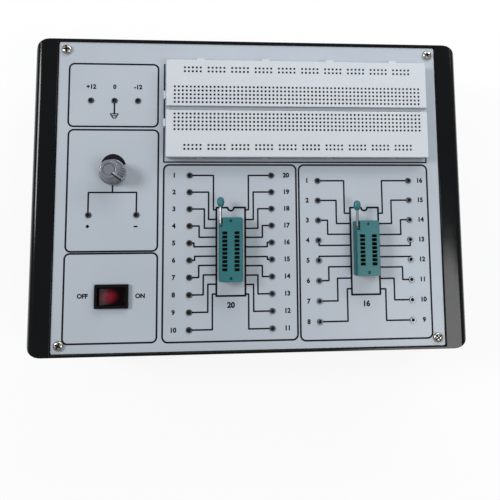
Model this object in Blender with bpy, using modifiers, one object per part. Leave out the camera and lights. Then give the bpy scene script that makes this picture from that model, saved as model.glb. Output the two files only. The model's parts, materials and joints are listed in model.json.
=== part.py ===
"""A bench trainer for linear integrated circuits, as separate parts.

A black two-part case carries a printed panel with a solderless breadboard, two
zero-insertion-force sockets, four groups of patch sockets, a supply knob and a
power rocker. Inside are the mains inlet, the transformer and the supply board.

Metres, +Z up, +X to the right and +Y to the rear. The origin is the middle of
the footprint, on the surface that the feet stand on.
"""

from math import cos, pi, radians, sin, tan

import bmesh
import bpy
from mathutils import Matrix, Vector

# Gaps and cutting
CLEARANCE = 0.0003
CUT_OVERRUN = 0.002
JOIN_OVERLAP = 0.0006
WELD_DISTANCE = 0.00001

# Pan-head screws, as shares of their head's radius, its height and the shank's radius
SCREW_CROWN_SHARE = 0.7
SCREW_EDGE_SHARE = 0.55
SCREW_TIP_SHARE = 0.4

# Case
SHOULDER_WIDTH = 0.015
RIM_WIDTH = 0.002
CASE_CORNER_RADIUS = 0.009
CASE_WALL = 0.0025
LOWER_HEIGHT = 0.032
UPPER_HEIGHT = 0.035
SHOULDER_ROUND = 0.005
SHOULDER_RISE = 0.0012
LEDGE_WIDTH = 0.003
LEDGE_THICKNESS = 0.002
FOOT_RADIUS = 0.008
FOOT_HEIGHT = 0.004
FOOT_DRAFT = 0.001
FOOT_INSET_X = 0.020
FOOT_INSET_Y = 0.020

# Screws that hold the two halves of the case together
CASE_SCREW_INSET_X = 0.0085
CASE_SCREW_INSET_Y = 0.0165
CASE_COLUMN_RADIUS = 0.0045
CASE_SCREW_RADIUS = 0.0015
CASE_SCREW_HEAD_RADIUS = 0.0030
CASE_SCREW_HEAD_HEIGHT = 0.0022
CASE_SCREW_LENGTH = 0.022
CASE_SCREW_SEAT_DEPTH = 0.0217

# Control panel and its screws
PANEL_MARGIN_LEFT = 0.0075
SUPPLY_FIELD_WIDTH = 0.0570
SUPPLY_FIELD_GAP = 0.0036
ZIF_FIELD_GAP = 0.0014
PANEL_MARGIN_RIGHT = 0.0085
PANEL_MARGIN_FRONT = 0.0057
ZIF_FIELD_MARGIN = 0.00735
BREADBOARD_GAP = 0.0035
PANEL_MARGIN_REAR = 0.0134
PANEL_THICKNESS = 0.002
PANEL_CORNER_RADIUS = 0.001
PANEL_SCREW_INSET_X = 0.005
PANEL_SCREW_INSET_Y = 0.0052
PANEL_SCREW_RADIUS = 0.0013
PANEL_SCREW_HEAD_RADIUS = 0.00315
PANEL_SCREW_HEAD_HEIGHT = 0.0019
PANEL_SCREW_LENGTH = 0.010
PANEL_SCREW_RECESS_WIDTH = 0.0007
PANEL_SCREW_RECESS_DEPTH = 0.0010
PANEL_BOSS_RADIUS = 0.004
PANEL_BOSS_HEIGHT = 0.012

# Solderless breadboard
BREADBOARD_INSET = 0.0018
BREADBOARD_SIDE_ROOM = 0.0024
BREADBOARD_LENGTH = 0.171
BREADBOARD_WIDTH = 0.0636
BREADBOARD_HEIGHT = 0.0072
BREADBOARD_CORNER_RADIUS = 0.0008
BREADBOARD_GROOVE_WIDTH = 0.0026
BREADBOARD_GROOVE_DEPTH = 0.0020
BREADBOARD_BACKING_THICKNESS = 0.0008
BREADBOARD_TAB_WIDTH = 0.0040
BREADBOARD_TAB_REACH = 0.0018
BREADBOARD_TAB_FLARE = 0.0006
BREADBOARD_TAB_HEIGHT = 0.0050
BREADBOARD_SIDE_TAB_OFFSET = 0.0091
BREADBOARD_LONG_TAB_SHARES = (-0.372, -0.124, 0.124, 0.372)

# Patch sockets, soldered into boards under the panel
SOCKET_RADIUS = 0.00175
SOCKET_BORE_RADIUS = 0.0010
SOCKET_RISE = 0.0008
SOCKET_SIDES = 8
TERMINAL_BOARD_THICKNESS = 0.0016
TERMINAL_BOARD_MARGIN = 0.0045

# Fixed and variable supply sockets
SUPPLY_SOCKET_PITCH = 0.0150
FIXED_SOCKET_INSET = 0.0389
VARIABLE_SOCKET_OFFSET = 0.0510

# Zero-insertion-force sockets
PIN_PITCH = 0.00254
PIN_ROW_SPACING = 0.00762
ZIF_SIDE_WALL = 0.0018
ZIF_COVER_STEP = 0.00045
ZIF_BASE_HEIGHT = 0.0065
ZIF_COVER_HEIGHT = 0.0042
ZIF_CHAMFER = 0.0006
ZIF_LEVER_MARGIN = 0.0098
ZIF_FAR_MARGIN = 0.0076
ZIF_SLOT_LENGTH = 0.0032
ZIF_SLOT_WIDTH = 0.0019
ZIF_END_WALL = 0.0025
ZIF_SLIDER_THICKNESS = 0.0012
ZIF_SLIDER_EDGE = 0.00199
ZIF_SLIDER_TRAVEL = 0.0015
ZIF_SLIDER_END_GAP = 0.0009
ZIF_HOLE_RADIUS = 0.0010
ZIF_HOLE_DEPTH = 0.0015
ZIF_HOLE_INSET = 0.0022
ZIF_PIN_THICKNESS = 0.0005
ZIF_PIN_LENGTH = 0.0060
ZIF_LEVER_RADIUS = 0.0008
ZIF_LEVER_BEND_RADIUS = 0.0014
ZIF_LEVER_BEND_STEPS = 4
ZIF_LEVER_INSET = 0.0048
ZIF_LEVER_OFFSET = 0.0064
ZIF_AXLE_REACH = 0.0046
ZIF_LEVER_DEPTH = 0.0022
ZIF_LEVER_REACH = 0.0130
ZIF_LEVER_PLAY = 0.0005
ZIF_LEVER_KNOB_RADIUS = 0.0024
ZIF_LEVER_KNOB_LENGTH = 0.0064
ZIF_LEVER_KNOB_STEPS = 10
ZIF_LEVER_KNOB_BULGE_SHARE = 0.8
ZIF20_PINS = 20
ZIF16_PINS = 16
ZIF20_SOCKET_SPACING = 0.0528
ZIF20_SOCKET_PITCH = 0.0109
ZIF16_SOCKET_SPACING = 0.0609
ZIF16_SOCKET_PITCH = 0.0130

# Variable-supply potentiometer and knob
POT_OFFSET = 0.0272
POT_BODY_RADIUS = 0.0085
POT_BODY_HEIGHT = 0.0090
POT_BUSHING_WALL = 0.00035
POT_BUSHING_RISE = 0.0050
POT_SHAFT_RADIUS = 0.0030
POT_SHAFT_PLAY = 0.00015
POT_SHAFT_DEPTH = 0.0070
POT_SHAFT_GRIP = 0.0080
POT_NUT_WALL = 0.0025
POT_NUT_THICKNESS = 0.0020
POT_LUG_WIDTH = 0.0016
POT_LUG_THICKNESS = 0.0006
POT_LUG_REACH = 0.0050
POT_LUG_PITCH = 0.0050
POT_LUG_DROP = 0.0030
KNOB_NUT_ROOM = 0.0011
KNOB_NUT_HEADROOM = 0.0012
KNOB_TAPER = 0.0017
KNOB_TOP_WALL = 0.0018
KNOB_RUNNING_GAP = 0.0006
KNOB_SKIRT_HEIGHT = 0.0020
KNOB_WALL = 0.0012
KNOB_TOP_RIM = 0.0009
KNOB_TOP_RECESS = 0.0005
KNOB_POINTER_WIDTH = 0.0012
KNOB_POINTER_HEIGHT = 0.0004
KNOB_POINTER_START_SHARE = 0.33
KNOB_POINTER_ANGLE = radians(-37)

# Power rocker switch
SWITCH_OFFSET = 0.0007
SWITCH_INSET = 0.0348
SWITCH_BEZEL_END_LIP = 0.0010
SWITCH_BEZEL_SIDE_LIP = 0.0011
SWITCH_BEZEL_HEIGHT = 0.0020
SWITCH_BEZEL_ROUND = 0.0006
SWITCH_END_WALL = 0.0008
SWITCH_SIDE_WALL = 0.0009
SWITCH_FLOOR = 0.0020
SWITCH_ROCKER_END_GAP = 0.0005
SWITCH_ROCKER_SIDE_GAP = 0.0003
SWITCH_ROCKER_LENGTH = 0.0164
SWITCH_ROCKER_WIDTH = 0.0104
SWITCH_ROCKER_WAIST = 0.0026
SWITCH_ROCKER_SKIRT = 0.0045
SWITCH_ROCKER_TILT = radians(12)
ROCKER_CROWN_SHARE = 0.951
ROCKER_HEEL_SHARE = 0.975
ROCKER_HEEL_DROP_SHARE = 0.45
ROCKER_KEEL_SHARE = 0.37
SWITCH_PIVOT_HEIGHT = 0.0002
SWITCH_PIVOT_RADIUS = 0.0009
SWITCH_STEM_RADIUS = 0.0020
SWITCH_STEM_DROP = 0.0062
SWITCH_PLUNGER_RADIUS = 0.0010
SWITCH_PLUNGER_LENGTH = 0.0032
SWITCH_PLUNGER_REACH = 0.0019
PLUNGER_TIP_SHARE = 0.5
SWITCH_SPRING_WIRE = 0.0002
SWITCH_SPRING_TURNS = 4
SWITCH_SPRING_TURN_POINTS = 10
SWITCH_CONTACT_GAP = 0.0002
SWITCH_CONTACT_ROOM = 0.0041
SWITCH_CONTACT_LENGTH = 0.0110
SWITCH_CONTACT_WIDTH = 0.0050
SWITCH_CONTACT_THICKNESS = 0.0006
SWITCH_CONTACT_TILT = radians(6)
SWITCH_TERMINAL_THICKNESS = 0.0008
SWITCH_TERMINAL_WIDTH = 0.0048
SWITCH_TERMINAL_REACH = 0.0080

# Mains inlet in the rear wall
INLET_INSET = 0.035
INLET_FLOOR_GAP = 0.00345
INLET_WALL = 0.0015
INLET_BACK = 0.0050
INLET_CAVITY_WIDTH = 0.0240
INLET_CAVITY_HEIGHT = 0.0165
INLET_CAVITY_DEPTH = 0.0160
INLET_FLANGE_MARGIN = 0.0025
INLET_FLANGE_THICKNESS = 0.0020
INLET_CORNER_RADIUS = 0.0020
INLET_PIN_PITCH = 0.0070
INLET_PIN_OFFSET = 0.0040
INLET_PIN_THICKNESS = 0.0020
INLET_PIN_WIDTH = 0.0040
INLET_PIN_LENGTH = 0.0120
INLET_TAB_LENGTH = 0.0070
INLET_TAB_THICKNESS = 0.0010

# Mains transformer
TRANSFORMER_INSET_X = 0.095
TRANSFORMER_INSET_Y = 0.0465
CORE_SIDE_LEG = 0.008
CORE_YOKE = 0.008
CORE_STACK = 0.018
CORE_LEG_WIDTH = 0.016
CORE_WINDOW_WIDTH = 0.008
CORE_WINDOW_HEIGHT = 0.026
WINDING_BUILD = 0.0076
BRACKET_THICKNESS = 0.0010
BRACKET_FOOT_LENGTH = 0.0100
BRACKET_SCREW_RADIUS = 0.0015
BRACKET_SCREW_HEAD_RADIUS = 0.0028
BRACKET_SCREW_HEAD_HEIGHT = 0.0018
BRACKET_SCREW_LENGTH = 0.0045
BRACKET_BOSS_RADIUS = 0.0045
BRACKET_BOSS_HEIGHT = 0.0050

# Supply board and what stands on it
SUPPLY_BOARD_OFFSET = 0.085
SUPPLY_BOARD_INSET_Y = 0.1015
SUPPLY_BOARD_LENGTH = 0.090
SUPPLY_BOARD_WIDTH = 0.066
SUPPLY_BOARD_THICKNESS = 0.0016
STANDOFF_RADIUS = 0.0032
STANDOFF_HEIGHT = 0.0060
STANDOFF_PIN_RADIUS = 0.0014
STANDOFF_PIN_RISE = 0.0012
STANDOFF_INSET = 0.0050
CAPACITOR_RADIUS = 0.0065
CAPACITOR_HEIGHT = 0.0210
CAPACITOR_ROUND = 0.0008
CAPACITOR_SPACING = 0.0180
CAPACITOR_ROW_SHARE = 0.2
REGULATOR_WIDTH = 0.0100
REGULATOR_BODY_DEPTH = 0.0032
REGULATOR_BODY_HEIGHT = 0.0090
REGULATOR_TAB_THICKNESS = 0.0012
REGULATOR_TAB_HEIGHT = 0.0065
REGULATOR_LEAD_HEIGHT = 0.0040
REGULATOR_LEAD_WIDTH = 0.0060
REGULATOR_LEAD_THICKNESS = 0.0006
REGULATOR_SPACING = 0.0180
HEATSINK_LENGTH = 0.0600
HEATSINK_HEIGHT = 0.0240
HEATSINK_PLATE = 0.0020
HEATSINK_FIN_DEPTH = 0.0080
HEATSINK_FIN_THICKNESS = 0.0014
HEATSINK_FIN_COUNT = 7
HEATSINK_ROW_SHARE = 0.30
FIN_SPREAD_SHARE = 0.98
RECTIFIER_SIZE = 0.0090
RECTIFIER_HEIGHT = 0.0055
RECTIFIER_CORNER = 0.0011
RECTIFIER_PLACE_SHARES = (0.32, -0.22)
FUSE_RADIUS = 0.0025
FUSE_LENGTH = 0.0200
FUSE_CAP_LENGTH = 0.0050
FUSE_CAP_THICKNESS = 0.0002
FUSE_HOLDER_WIDTH = 0.0080
FUSE_HOLDER_BASE = 0.0016
FUSE_CLIP_THICKNESS = 0.0010
FUSE_CLIP_LENGTH = 0.0040
FUSE_CLIP_RISE = 0.0040
FUSE_PLACE_SHARES = (-0.30, -0.25)

# Inner wires
WIRE_RADIUS = 0.0011
WIRE_END_GAP = 0.0003
WIRE_SMOOTH_STEPS = 4
WIRE_LEAD_SHARE = 0.05

# Sizes that follow from what each piece holds
ZIF_FIELD_WIDTH = (BREADBOARD_LENGTH + BREADBOARD_SIDE_ROOM - ZIF_FIELD_GAP) / 2
ZIF_FIELD_DEPTH = (ZIF20_PINS // 2 - 1) * ZIF20_SOCKET_PITCH + 2 * ZIF_FIELD_MARGIN
PANEL_FIELDS_WIDTH = SUPPLY_FIELD_WIDTH + SUPPLY_FIELD_GAP + 2 * ZIF_FIELD_WIDTH + ZIF_FIELD_GAP
PANEL_WIDTH = PANEL_MARGIN_LEFT + PANEL_FIELDS_WIDTH + PANEL_MARGIN_RIGHT
PANEL_FIELDS_DEPTH = ZIF_FIELD_DEPTH + BREADBOARD_GAP + BREADBOARD_WIDTH
PANEL_DEPTH = PANEL_MARGIN_FRONT + PANEL_FIELDS_DEPTH + PANEL_MARGIN_REAR
CASE_WIDTH = PANEL_WIDTH + 2 * SHOULDER_WIDTH
CASE_DEPTH = PANEL_DEPTH + 2 * RIM_WIDTH
ZIF_SLIDER_WIDTH = PIN_ROW_SPACING + 2 * ZIF_SLIDER_EDGE
ZIF_WIDTH = ZIF_SLIDER_WIDTH + 2 * ZIF_SIDE_WALL
ZIF_COVER_WIDTH = ZIF_WIDTH - 2 * ZIF_COVER_STEP
POT_BUSHING_RADIUS = POT_SHAFT_RADIUS + POT_SHAFT_PLAY + POT_BUSHING_WALL
POT_SHAFT_RISE = POT_BUSHING_RISE + POT_SHAFT_GRIP
POT_NUT_RADIUS = POT_BUSHING_RADIUS + POT_NUT_WALL
KNOB_BASE_RADIUS = POT_NUT_RADIUS + KNOB_NUT_ROOM + KNOB_WALL
KNOB_TOP_RADIUS = KNOB_BASE_RADIUS - KNOB_TAPER
KNOB_CAVITY_HEIGHT = POT_NUT_THICKNESS + KNOB_NUT_HEADROOM
KNOB_SOLID_TOP = POT_SHAFT_RISE + CLEARANCE + KNOB_TOP_WALL
KNOB_HEIGHT = KNOB_SOLID_TOP + KNOB_TOP_RECESS - KNOB_RUNNING_GAP
SWITCH_CAVITY_LENGTH = SWITCH_ROCKER_LENGTH + 2 * SWITCH_ROCKER_END_GAP
SWITCH_CAVITY_WIDTH = SWITCH_ROCKER_WIDTH + 2 * SWITCH_ROCKER_SIDE_GAP
SWITCH_BODY_LENGTH = SWITCH_CAVITY_LENGTH + 2 * SWITCH_END_WALL
SWITCH_BODY_WIDTH = SWITCH_CAVITY_WIDTH + 2 * SWITCH_SIDE_WALL
SWITCH_BEZEL_LENGTH = SWITCH_BODY_LENGTH + 2 * SWITCH_BEZEL_END_LIP
SWITCH_BEZEL_WIDTH = SWITCH_BODY_WIDTH + 2 * SWITCH_BEZEL_SIDE_LIP
SWITCH_PLUNGER_TIP_DROP = SWITCH_STEM_DROP + SWITCH_PLUNGER_REACH
SWITCH_CONTACT_TOP_DROP = SWITCH_PLUNGER_TIP_DROP + SWITCH_CONTACT_GAP
SWITCH_CONTACT_DROP = SWITCH_CONTACT_TOP_DROP + SWITCH_CONTACT_THICKNESS / 2
SWITCH_CAVITY_DEPTH = SWITCH_CONTACT_DROP + SWITCH_CONTACT_ROOM - SWITCH_PIVOT_HEIGHT
SWITCH_BODY_DEPTH = SWITCH_CAVITY_DEPTH + SWITCH_FLOOR
INLET_WIDTH = INLET_CAVITY_WIDTH + 2 * INLET_WALL
INLET_HEIGHT = INLET_CAVITY_HEIGHT + 2 * INLET_WALL
INLET_DEPTH = INLET_CAVITY_DEPTH + INLET_BACK
CORE_WIDTH = CORE_LEG_WIDTH + 2 * CORE_WINDOW_WIDTH + 2 * CORE_SIDE_LEG
CORE_HEIGHT = CORE_WINDOW_HEIGHT + 2 * CORE_YOKE

# Heights that follow from the sizes above
LOWER_BOTTOM = FOOT_HEIGHT + CLEARANCE
LOWER_TOP = LOWER_BOTTOM + LOWER_HEIGHT
FLOOR_TOP = LOWER_BOTTOM + CASE_WALL
UPPER_BOTTOM = LOWER_TOP + CLEARANCE
UPPER_TOP = UPPER_BOTTOM + UPPER_HEIGHT
PANEL_TOP = UPPER_TOP - SHOULDER_RISE
PANEL_BOTTOM = PANEL_TOP - PANEL_THICKNESS
LEDGE_TOP = PANEL_BOTTOM - CLEARANCE
TERMINAL_BOARD_TOP = PANEL_BOTTOM - CLEARANCE
TERMINAL_BOARD_BOTTOM = TERMINAL_BOARD_TOP - TERMINAL_BOARD_THICKNESS
SUPPLY_BOARD_BOTTOM = FLOOR_TOP + STANDOFF_HEIGHT + CLEARANCE
SUPPLY_BOARD_TOP = SUPPLY_BOARD_BOTTOM + SUPPLY_BOARD_THICKNESS

# Places that follow from the sizes above
SUPPLY_CENTRE_X = PANEL_MARGIN_LEFT + SUPPLY_FIELD_WIDTH / 2 - PANEL_WIDTH / 2
ZIF_FIELDS_LEFT = SUPPLY_CENTRE_X + SUPPLY_FIELD_WIDTH / 2 + SUPPLY_FIELD_GAP
ZIF20_CENTRE_X = ZIF_FIELDS_LEFT + ZIF_FIELD_WIDTH / 2
ZIF16_CENTRE_X = ZIF20_CENTRE_X + ZIF_FIELD_WIDTH + ZIF_FIELD_GAP
ZIF_CENTRE_Y = PANEL_MARGIN_FRONT + ZIF_FIELD_DEPTH / 2 - PANEL_DEPTH / 2
ZIFS = (("zif20", ZIF20_CENTRE_X, ZIF20_PINS), ("zif16", ZIF16_CENTRE_X, ZIF16_PINS))
BREADBOARD_CENTRE_X = ZIF_FIELDS_LEFT + BREADBOARD_INSET + BREADBOARD_LENGTH / 2
BREADBOARD_CENTRE_Y = PANEL_DEPTH / 2 - PANEL_MARGIN_REAR - BREADBOARD_WIDTH / 2
SWITCH_CENTRE_X = SUPPLY_CENTRE_X + SWITCH_OFFSET
SWITCH_CENTRE_Y = SWITCH_INSET - PANEL_DEPTH / 2
VARIABLE_SOCKET_Y = SWITCH_CENTRE_Y + VARIABLE_SOCKET_OFFSET
POT_CENTRE_Y = VARIABLE_SOCKET_Y + POT_OFFSET
FIXED_SOCKET_Y = PANEL_DEPTH / 2 - FIXED_SOCKET_INSET
INLET_CENTRE_X = INLET_INSET - CASE_WIDTH / 2
INLET_CENTRE_Z = FLOOR_TOP + INLET_FLOOR_GAP + INLET_HEIGHT / 2
TRANSFORMER_CENTRE_X = TRANSFORMER_INSET_X - CASE_WIDTH / 2
TRANSFORMER_CENTRE_Y = CASE_DEPTH / 2 - TRANSFORMER_INSET_Y
SUPPLY_BOARD_CENTRE_X = TRANSFORMER_CENTRE_X + SUPPLY_BOARD_OFFSET
SUPPLY_BOARD_CENTRE_Y = CASE_DEPTH / 2 - SUPPLY_BOARD_INSET_Y
CASE_SCREW_X = CASE_WIDTH / 2 - CASE_SCREW_INSET_X
CASE_SCREW_Y = CASE_DEPTH / 2 - CASE_SCREW_INSET_Y
PANEL_SCREW_X = PANEL_WIDTH / 2 - PANEL_SCREW_INSET_X
PANEL_SCREW_Y = PANEL_DEPTH / 2 - PANEL_SCREW_INSET_Y
CASE_SCREW_SEAT = LOWER_BOTTOM + CASE_SCREW_SEAT_DEPTH
BRACKET_SCREW_OFFSET = CORE_WIDTH / 2 + CLEARANCE + BRACKET_THICKNESS + BRACKET_FOOT_LENGTH / 2
BRACKET_BASE = FLOOR_TOP + BRACKET_BOSS_HEIGHT + CLEARANCE

SIGNS = (-1, 1)
QUADRANTS = [(sx, sy) for sy in SIGNS for sx in SIGNS]


def clear_scene():
    for obj in list(bpy.data.objects):
        bpy.data.objects.remove(obj, do_unlink=True)


def new_collection(name):
    collection = bpy.data.collections.new(name)
    bpy.context.scene.collection.children.link(collection)
    return collection


def make_material(name, colour, roughness, metallic=0.0):
    material = bpy.data.materials.new(name)
    material.use_nodes = True
    shader = material.node_tree.nodes["Principled BSDF"]
    shader.inputs["Base Color"].default_value = (*colour, 1.0)
    shader.inputs["Roughness"].default_value = roughness
    shader.inputs["Metallic"].default_value = metallic
    return material


# Solids added to an open bmesh, in the piece's own coordinates


def add_box(bm, low, high):
    low, high = Vector(low), Vector(high)
    matrix = Matrix.Translation((low + high) / 2) @ Matrix.Diagonal((*(high - low), 1))
    bmesh.ops.create_cube(bm, size=1, matrix=matrix)


def add_slab(bm, centre, width, depth, bottom, top, radius, segments=5):
    """Adds a box whose four upright edges are rounded."""
    half = Vector((width / 2, depth / 2, 0))
    middle = Vector((*centre, 0))
    slab = bmesh.new()
    add_box(slab, middle - half + Vector((0, 0, bottom)), middle + half + Vector((0, 0, top)))
    upright = [e for e in slab.edges if abs(e.verts[0].co.z - e.verts[1].co.z) > (top - bottom) / 2]
    bmesh.ops.bevel(
        slab, geom=upright, offset=radius, segments=segments, profile=0.5, affect="EDGES"
    )
    merge_into(bm, slab)


def add_cylinder(bm, centre, radius, bottom, top, sides=16, turn=0.0):
    matrix = Matrix.Translation((*centre, (bottom + top) / 2)) @ Matrix.Rotation(turn, 4, "Z")
    bmesh.ops.create_cone(
        bm,
        cap_ends=True,
        segments=sides,
        radius1=radius,
        radius2=radius,
        depth=top - bottom,
        matrix=matrix,
    )


def merge_into(bm, other):
    """Copies another bmesh's geometry into bm and frees the other."""
    scratch = bpy.data.meshes.new("scratch")
    other.to_mesh(scratch)
    other.free()
    bm.from_mesh(scratch)
    bpy.data.meshes.remove(scratch)


# Objects


def mesh_object(name, bm, material=None, location=(0, 0, 0)):
    """A named part from a bmesh, or a helper shape where no material is given."""
    mesh = bpy.data.meshes.new(name)
    bm.to_mesh(mesh)
    bm.free()
    obj = bpy.data.objects.new(name, mesh)
    finish_object(obj, material)
    obj.location = location
    return obj


def finish_object(obj, material):
    if material is None:
        CUTTERS.objects.link(obj)
        obj.hide_render = True
        obj.display_type = "WIRE"
        return
    PARTS.objects.link(obj)
    obj.data.materials.append(material)


def boolean(target, tool, operation):
    """Cuts or joins a helper shape, which is built in the target's own coordinates."""
    tool.parent = target
    modifier = target.modifiers.new(tool.name, "BOOLEAN")
    modifier.operation = operation
    modifier.object = tool
    return target


def helper(target, label, build):
    """A helper shape for a Boolean on target, made by build(bmesh)."""
    bm = bmesh.new()
    build(bm)
    return mesh_object(f"{target.name}_{label}", bm)


def cut(target, label, build):
    return boolean(target, helper(target, label, build), "DIFFERENCE")


def join(target, label, build):
    return boolean(target, helper(target, label, build), "UNION")


def turned(name, profile, material, location=(0, 0, 0), steps=24):
    """A turned piece: the profile runs down its outer side, as (radius, height) points."""
    bm = bmesh.new()
    verts = [bm.verts.new((r, 0, z)) for r, z in profile]
    pairs = list(zip(verts, verts[1:]))
    if profile[0][0] > 0:
        pairs.append((verts[-1], verts[0]))
    for pair in pairs:
        bm.edges.new(pair)
    obj = mesh_object(name, bm, material, location)
    screw = obj.modifiers.new("turn", "SCREW")
    screw.axis = "Z"
    screw.steps = steps
    screw.render_steps = steps
    screw.use_merge_vertices = True
    screw.merge_threshold = WELD_DISTANCE
    screw.use_smooth_shade = True
    return obj


def tube(name, points, radius, material, location=(0, 0, 0), sides=2):
    """A rod or wire along a polyline, with filled ends."""
    curve = bpy.data.curves.new(name, "CURVE")
    curve.dimensions = "3D"
    curve.bevel_depth = radius
    curve.bevel_resolution = sides
    curve.use_fill_caps = True
    spline = curve.splines.new("POLY")
    spline.points.add(len(points) - 1)
    for point, place in zip(spline.points, points):
        point.co = (*place, 1)
    obj = bpy.data.objects.new(name, curve)
    finish_object(obj, material)
    obj.location = location
    return obj


def outline_object(name, points, thickness, material):
    """A plate cut to an outline of (x, z) points, standing in the XZ plane and centred on y = 0."""
    curve = bpy.data.curves.new(name, "CURVE")
    curve.dimensions = "2D"
    curve.fill_mode = "BOTH"
    curve.extrude = thickness / 2
    spline = curve.splines.new("POLY")
    spline.points.add(len(points) - 1)
    for point, (x, z) in zip(spline.points, points):
        point.co = (x, z, 0, 1)
    spline.use_cyclic_u = True
    flat = bpy.data.objects.new(name, curve)
    bpy.context.scene.collection.objects.link(flat)
    flat.rotation_euler = (radians(90), 0, 0)
    return as_mesh(flat, name, material)


def as_mesh(curve_object, name, material):
    """Replaces a curve object by a welded mesh in world coordinates, which Booleans accept."""
    bpy.context.view_layer.update()
    graph = bpy.context.evaluated_depsgraph_get()
    mesh = bpy.data.meshes.new_from_object(curve_object.evaluated_get(graph))
    mesh.transform(curve_object.matrix_world)
    data = curve_object.data
    bpy.data.objects.remove(curve_object, do_unlink=True)
    bpy.data.curves.remove(data)
    bm = bmesh.new()
    bm.from_mesh(mesh)
    bpy.data.meshes.remove(mesh)
    bmesh.ops.remove_doubles(bm, verts=bm.verts, dist=WELD_DISTANCE)
    bmesh.ops.recalc_face_normals(bm, faces=bm.faces)
    return mesh_object(name, bm, material)


def smooth_path(points, steps):
    """Points along a cubic B-spline, which starts and ends at the ends of its control points."""
    places = [Vector(p) for p in points]
    padded = [places[0], places[0], *places, places[-1], places[-1]]
    path = []
    for a, b, c, d in zip(padded, padded[1:], padded[2:], padded[3:]):
        for step in range(steps):
            t = step / steps
            path.append(
                (
                    (1 - t) ** 3 * a
                    + (3 * t**3 - 6 * t**2 + 4) * b
                    + (-3 * t**3 + 3 * t**2 + 3 * t + 1) * c
                    + t**3 * d
                )
                / 6
            )
    return [*path, places[-1]]


def screw_profile(head_radius, head_height, radius, length):
    """A pan-head screw: its head's underside is at height 0 and its shank points down."""
    return [
        (0, head_height),
        (head_radius * SCREW_CROWN_SHARE, head_height),
        (head_radius, head_height * SCREW_EDGE_SHARE),
        (head_radius, 0),
        (radius, 0),
        (radius, -length + radius),
        (radius * SCREW_TIP_SHARE, -length),
        (0, -length),
    ]


# Case


def case_body(bm, bottom, top):
    add_slab(bm, (0, 0), CASE_WIDTH, CASE_DEPTH, bottom, top, CASE_CORNER_RADIUS)


def case_hollow(bm, bottom, top):
    add_slab(
        bm,
        (0, 0),
        CASE_WIDTH - 2 * CASE_WALL,
        CASE_DEPTH - 2 * CASE_WALL,
        bottom,
        top,
        CASE_CORNER_RADIUS - CASE_WALL,
    )


def add_at_case_screws(bm, radius, bottom, top, sides=16):
    for sx, sy in QUADRANTS:
        add_cylinder(bm, (sx * CASE_SCREW_X, sy * CASE_SCREW_Y), radius, bottom, top, sides)


def add_at_panel_screws(bm, radius, bottom, top, sides=12):
    for sx, sy in QUADRANTS:
        add_cylinder(bm, (sx * PANEL_SCREW_X, sy * PANEL_SCREW_Y), radius, bottom, top, sides)


def add_at_standoffs(bm, radius, bottom, top, sides=12):
    for sx, sy in QUADRANTS:
        x = SUPPLY_BOARD_CENTRE_X + sx * (SUPPLY_BOARD_LENGTH / 2 - STANDOFF_INSET)
        y = SUPPLY_BOARD_CENTRE_Y + sy * (SUPPLY_BOARD_WIDTH / 2 - STANDOFF_INSET)
        add_cylinder(bm, (x, y), radius, bottom, top, sides)


def add_at_bracket_screws(bm, radius, bottom, top, sides=12):
    for sx in SIGNS:
        x = TRANSFORMER_CENTRE_X + sx * BRACKET_SCREW_OFFSET
        add_cylinder(bm, (x, TRANSFORMER_CENTRE_Y), radius, bottom, top, sides)


def build_lower_case():
    bm = bmesh.new()
    case_body(bm, LOWER_BOTTOM, LOWER_TOP)
    case = mesh_object("lower_case", bm, BLACK_PLASTIC)
    cut(case, "hollow", lambda bm: case_hollow(bm, FLOOR_TOP, LOWER_TOP + CUT_OVERRUN))

    def posts(bm):
        add_at_case_screws(bm, CASE_COLUMN_RADIUS, FLOOR_TOP - JOIN_OVERLAP, LOWER_TOP)
        add_at_standoffs(bm, STANDOFF_RADIUS, FLOOR_TOP - JOIN_OVERLAP, FLOOR_TOP + STANDOFF_HEIGHT)
        add_at_bracket_screws(
            bm, BRACKET_BOSS_RADIUS, FLOOR_TOP - JOIN_OVERLAP, FLOOR_TOP + BRACKET_BOSS_HEIGHT
        )

    join(case, "posts", posts)

    def pins(bm):
        low = FLOOR_TOP + STANDOFF_HEIGHT - JOIN_OVERLAP
        add_at_standoffs(bm, STANDOFF_PIN_RADIUS, low, SUPPLY_BOARD_TOP + STANDOFF_PIN_RISE, 8)

    join(case, "pins", pins)

    def bores(bm):
        head_room = CASE_SCREW_HEAD_RADIUS + CLEARANCE
        add_at_case_screws(bm, head_room, LOWER_BOTTOM - CUT_OVERRUN, CASE_SCREW_SEAT)
        add_at_bracket_screws(
            bm,
            BRACKET_SCREW_RADIUS + CLEARANCE,
            FLOOR_TOP + CLEARANCE,
            FLOOR_TOP + BRACKET_BOSS_HEIGHT + CUT_OVERRUN,
            8,
        )
        half_width = INLET_WIDTH / 2 + CLEARANCE
        half_height = INLET_HEIGHT / 2 + CLEARANCE
        add_box(
            bm,
            (INLET_CENTRE_X - half_width, CASE_DEPTH / 2 - 2 * CASE_WALL, INLET_CENTRE_Z - half_height),
            (INLET_CENTRE_X + half_width, CASE_DEPTH / 2 + CUT_OVERRUN, INLET_CENTRE_Z + half_height),
        )

    cut(case, "bores", bores)
    cut(
        case,
        "shank_bores",
        lambda bm: add_at_case_screws(
            bm,
            CASE_SCREW_RADIUS + CLEARANCE,
            CASE_SCREW_SEAT - CUT_OVERRUN,
            LOWER_TOP + CUT_OVERRUN,
            12,
        ),
    )
    return case


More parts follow.
